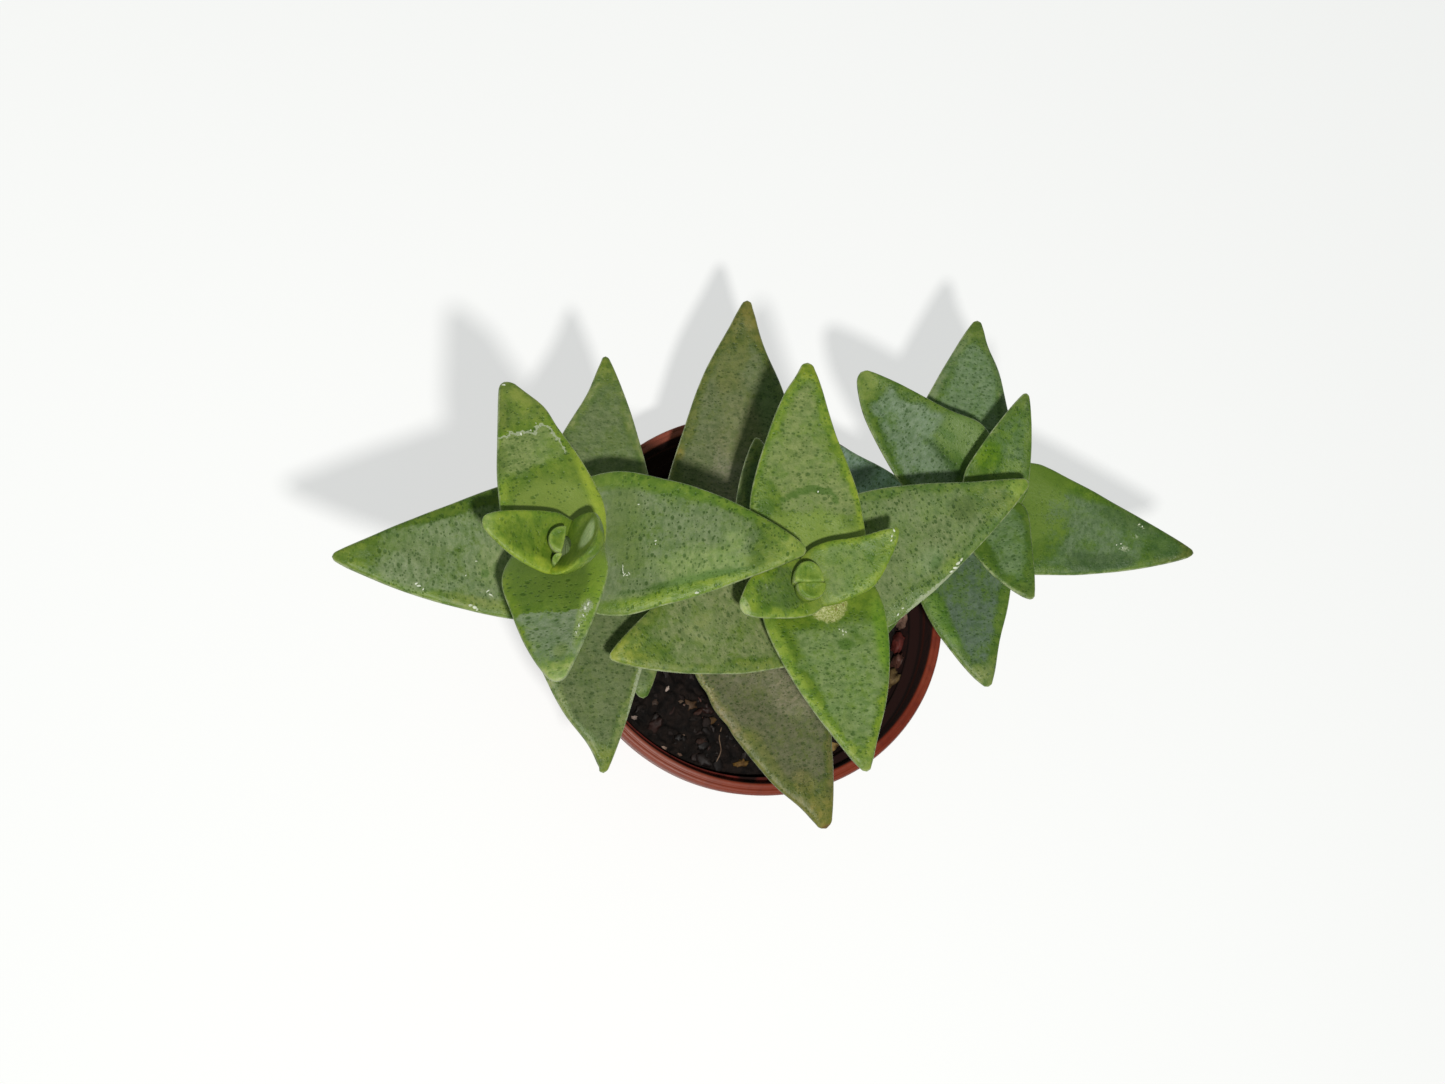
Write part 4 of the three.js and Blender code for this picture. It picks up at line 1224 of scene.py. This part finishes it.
def drilled(piece, cutters):
    """Cuts the cutters out of a piece, which is turned into triangles first, and removes them."""
    piece.modifiers.new("triangles", "TRIANGULATE")
    for cutter in cutters:
        step = piece.modifiers.new("cut", "BOOLEAN")
        step.operation = "DIFFERENCE"
        step.solver = "MANIFOLD"
        step.object = cutter
    bpy.context.view_layer.update()
    cut = bpy.data.meshes.new_from_object(
        piece.evaluated_get(bpy.context.evaluated_depsgraph_get()))
    piece.modifiers.clear()
    materials = list(piece.data.materials)
    piece.data = cut
    cut.materials.clear()
    for material in materials:
        cut.materials.append(material)
    for cutter in cutters:
        bpy.data.objects.remove(cutter)


def pot_piece(material):
    shoulder = POT_HEIGHT - COLLAR_HEIGHT
    mouth = RIM_RADIUS - LIP_WIDTH
    bead = mouth - LEDGE_WIDTH - BEAD
    profile = [
        (AXIS_GAP, 0), (BASE_RADIUS - 0.8, 0), (BASE_RADIUS, 0.8),
        (wall_radius(shoulder - 0.6), shoulder - 0.6),
        (RIM_RADIUS - COLLAR_TAPER, shoulder), (RIM_RADIUS, POT_HEIGHT - 0.7),
        (RIM_RADIUS - 0.25, POT_HEIGHT - 0.1), (RIM_RADIUS - 0.6, POT_HEIGHT - 0.05),
        (RIM_RADIUS - 0.8, POT_HEIGHT - 0.18), (RIM_RADIUS - 1.0, POT_HEIGHT - 0.05),
        (mouth + 0.3, POT_HEIGHT), (mouth, POT_HEIGHT - 0.4), (mouth - 0.2, shoulder - 0.4),
        (bead, shoulder - 0.7), (bead, shoulder - 1.2),
        (wall_radius(shoulder - 2) - WALL, shoulder - 2),
        (wall_radius(FLOOR_THICKNESS) - WALL, FLOOR_THICKNESS), (AXIS_GAP, FLOOR_THICKNESS),
    ]
    rings = turned(rounded(profile, CORNER, CORNER_STEPS), POT_SIDES)
    pot = build_piece("plastic_pot", [(rings, {}, 0)], [material])
    cutters = []
    for angle in around(DRAIN_HOLES):
        place = np.array([DRAIN_RING * np.cos(angle), DRAIN_RING * np.sin(angle), 0.0])
        cutters.append(rod(place - (0, 0, 3), place + (0, 0, 3), DRAIN_RADIUS, DRAIN_SIDES))
    drilled(pot, cutters)
    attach(pot, "root")
    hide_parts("pot")


def relief(x, y):
    """The lumps that the solids' soil has too."""
    wave = np.sin(0.55 * x + 1.3) * np.cos(0.47 * y - 0.4)
    lumps = np.sin(1.15 * x - 0.8 * y) * np.sin(0.9 * x + 1.25 * y + 2)
    return 0.5 * wave + 0.7 * np.abs(lumps)


def soil_height(x, y):
    """Height of the peat: the solids' lumps with crumbs and grit on them."""
    height = SOIL_LEVEL + relief(x, y)
    for high, wide, right, back, seed in SOIL_GRAIN:
        height = height + high * (noise(x / wide + right, y / wide + back, seed) - 0.5)
    return height


def soil_piece(material):
    outer = wall_radius(SOIL_LEVEL) - WALL - CLEARANCE
    inner = wall_radius(FLOOR_THICKNESS) - WALL - CLEARANCE
    bottom = FLOOR_THICKNESS + CLEARANCE
    sides = [(0.3, bottom), (inner, bottom), (outer, SOIL_LEVEL - 1)]
    top = [(radius, SOIL_LEVEL) for radius in np.linspace(outer - 0.5, 0.25, SOIL_RINGS)]
    rings = turned(sides + top, SOIL_SIDES)
    rings[3:, :, 2] = soil_height(rings[3:, :, 0], rings[3:, :, 1])
    soil = build_piece("peat_and_bark", [(rings, {}, 0)], [material])
    cutters = []
    for stem in STEMS:
        foot = foot_of(stem["ground"], STEM_DEPTH + CLEARANCE)
        head = stem["ground"] + (foot - stem["ground"]) * -0.3
        cutters.append(rod(foot, head, stem["girth"][0] + 1.3 * CLEARANCE, HOLE_SIDES))
    drilled(soil, cutters)
    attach(soil, "root")
    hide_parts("soil")


# ------------------------------------------------------------------ loose bits


def on_soil(column, row):
    """Where the view through a place in the picture, in its pixels, meets the soil."""
    scale = PICTURE_WIDTH * CAMERA_LENS / SENSOR_WIDTH
    ray = (CAMERA_AIM + CAMERA_RIGHT * (column - PICTURE_WIDTH / 2) / scale
           - CAMERA_UP * (row - PICTURE_HEIGHT / 2) / scale)
    start = CAMERA_PLACE / MM
    return (start + ray * ((SOIL_LEVEL + 0.6 - start.z) / ray.z))[:2]


def crumb(x, y, size, turn, seed):
    """Rings of a rough lump that lies partly sunk in the soil."""
    length, width, height = size
    rows = np.linspace(0, np.pi, 9)[1:-1, None]
    angles = around(CRUMB_SIDES)
    out = np.sin(rows) ** 0.7
    up = -np.cos(rows) * height / 2
    rough = 0.4 + 1.1 * noise(2.4 * np.cos(angles) + 3 + out,
                              2.4 * np.sin(angles) + 3 * up / height, seed)
    long = out * np.cos(angles) * length / 2 * rough
    wide = out * np.sin(angles) * width / 2 * rough
    tilt = 0.5 * (lattice(np.array([seed]), np.array([5]), 9)[0] - 0.5)
    up = up * rough + tilt * long + soil_height(x, y) + 0.15 * height
    across, away = spun(long, wide, turn)
    return np.stack([x + across, y + away, up], -1)


def bits_piece(material):
    """Bark chips, grit and pebbles on the peat: the ones that stand out, and a seeded scatter."""
    draw = np.random.default_rng(17)
    edge = wall_radius(SOIL_LEVEL) - WALL - EDGE_GAP
    wanted = []
    for column, row, long, wide, high, turn, colour in SEEN_BITS:
        x, y = on_soil(column, row)
        inwards = min(1, (edge + 0.7) / np.hypot(x, y))
        wanted.append((x * inwards, y * inwards, (long, wide, high), np.radians(turn), colour))
    for count, colours, shortest, longest, flat in BITS:
        for _ in range(count):
            radius = edge * np.sqrt(draw.random())
            angle = draw.random() * FULL_TURN
            long = shortest + (longest - shortest) * draw.random() ** 2
            size = (long, long * (0.45 + 0.4 * draw.random()), long * flat)
            colour = colours[draw.integers(len(colours))]
            wanted.append((radius * np.cos(angle), radius * np.sin(angle), size,
                           draw.random() * FULL_TURN, colour))
    shells = []
    for seed, (x, y, size, turn, colour) in enumerate(wanted, 1):
        trunks = [np.hypot(x - stem["ground"][0], y - stem["ground"][1]) for stem in STEMS]
        if min(trunks) < TRUNK_GAP + size[0] / 2:
            continue
        rings = crumb(x, y, size, turn, seed)
        room = wall_radius(rings[..., 2:]) - WALL - 0.1
        rings[..., :2] *= np.minimum(1, room / np.hypot(rings[..., :1], rings[..., 1:2]))
        shells.append((rings, dict(tone=painted(colour, rings[..., 0])), 0))
    bits = build_piece("bark_chips_and_grit", shells, [material])
    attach(bits, "root")


def root_piece(material):
    """A pale dry root that lies across the peat."""
    places = [on_soil(column, row) for column, row in THREAD]
    line = hermite_path([(x, y, soil_height(x, y) + 0.35) for x, y in places], ROOT_POINTS)
    rings = tube(line, ROOT_RADIUS, ROOT_SIDES, (0, 0, -1))
    root = build_piece("dry_root", [(rings, {}, 0)], [material])
    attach(root, "root")


def flecks_piece(material):
    """Thin dry flecks and crumbs that lie on the leaves."""
    shells = []
    angles = around(FLECK_SIDES)
    rows = np.array(FLECK_ROWS)[:, None] * np.pi
    out = np.sin(rows) ** 0.6
    for which, number, side, colour, spots in FLECKS:
        growth = STEMS[which]["pairs"][number]
        blade = growth["leaves"][side]
        seed = seed_of(which, number, side)
        for at, across, long, wide, turn in spots:
            along = np.array([at])
            places, _ = leaf_surface(blade, growth["node"], along, np.arccos([across]), seed)
            onwards, left, up = (axis[0] for axis in directions(blade, along))
            turn = np.radians(turn)
            length_way = onwards * np.cos(turn) + left * np.sin(turn)
            width_way = left * np.cos(turn) - onwards * np.sin(turn)
            rough = 0.7 + 0.6 * noise(3 * np.cos(angles) + 4, 3 * np.sin(angles) + 9 * at,
                                      rows.size * angles.size * len(shells))
            rings = (places + length_way * (out * np.cos(angles) * rough * long / 2)[..., None]
                     + width_way * (out * np.sin(angles) * rough * wide / 2)[..., None]
                     - up * (FLECK_HEIGHT * np.cos(rows) + 0 * angles)[..., None])
            shells.append((rings, dict(tone=painted(colour, rings[..., 0])), 0))
    flecks = build_piece("dry_flecks_on_leaves", shells, [material])
    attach(flecks, "root")


# ------------------------------------------------------------------ light, floor and camera


def light_and_floor():
    lamp = bpy.data.objects.new("key_light", bpy.data.lights.new("key_light", "POINT"))
    lamp.data.energy = LIGHT_POWER
    lamp.data.shadow_soft_size = LIGHT_RADIUS
    lamp.data.color = LIGHT_COLOUR
    lamp.data.use_nodes = True
    tree = lamp.data.node_tree
    falloff = tree.nodes.new("ShaderNodeLightFalloff")
    falloff.inputs["Strength"].default_value = 1.0
    tree.links.new(falloff.outputs["Constant"], tree.nodes["Emission"].inputs["Strength"])
    lamp.location = LIGHT_PLACE
    lamp.visible_camera = False
    bpy.context.scene.collection.objects.link(lamp)
    world = bpy.data.worlds.new("studio")
    world.use_nodes = True
    background = world.node_tree.nodes["Background"]
    background.inputs["Color"].default_value = SKY_COLOUR
    background.inputs["Strength"].default_value = SKY_STRENGTH
    bpy.context.scene.world = world
    floor = bpy.data.objects.new("floor", bpy.data.meshes.new("floor"))
    far = FLOOR_REACH
    corners = [(-far, -far, 0), (far, -far, 0), (far, far, 0), (-far, far, 0)]
    floor.data.from_pydata(corners, [], [(0, 1, 2, 3)])
    floor.data.materials.append(floor_material())
    bpy.context.scene.collection.objects.link(floor)


def camera():
    eye = bpy.data.objects.new("camera", bpy.data.cameras.new("camera"))
    turn = Matrix((CAMERA_RIGHT, CAMERA_UP, -CAMERA_AIM)).transposed()
    eye.matrix_world = Matrix.Translation(CAMERA_PLACE) @ turn.to_4x4()
    eye.data.sensor_width = SENSOR_WIDTH
    eye.data.lens = CAMERA_LENS
    eye.data.clip_start = 0.01
    eye.data.clip_end = 20.0
    bpy.context.scene.collection.objects.link(eye)
    bpy.context.scene.camera = eye


# ------------------------------------------------------------------ the whole scene

camera()
light_and_floor()
bpy.context.scene.view_settings.view_transform = "Standard"

skins = [leaf_material(), stem_material()]
for which in range(len(STEMS)):
    stem_piece(which, skins)
pot_piece(pot_material())
soil_piece(peat_material())
bits_piece(bits_material())
root_piece(root_material())
flecks_piece(fleck_material())
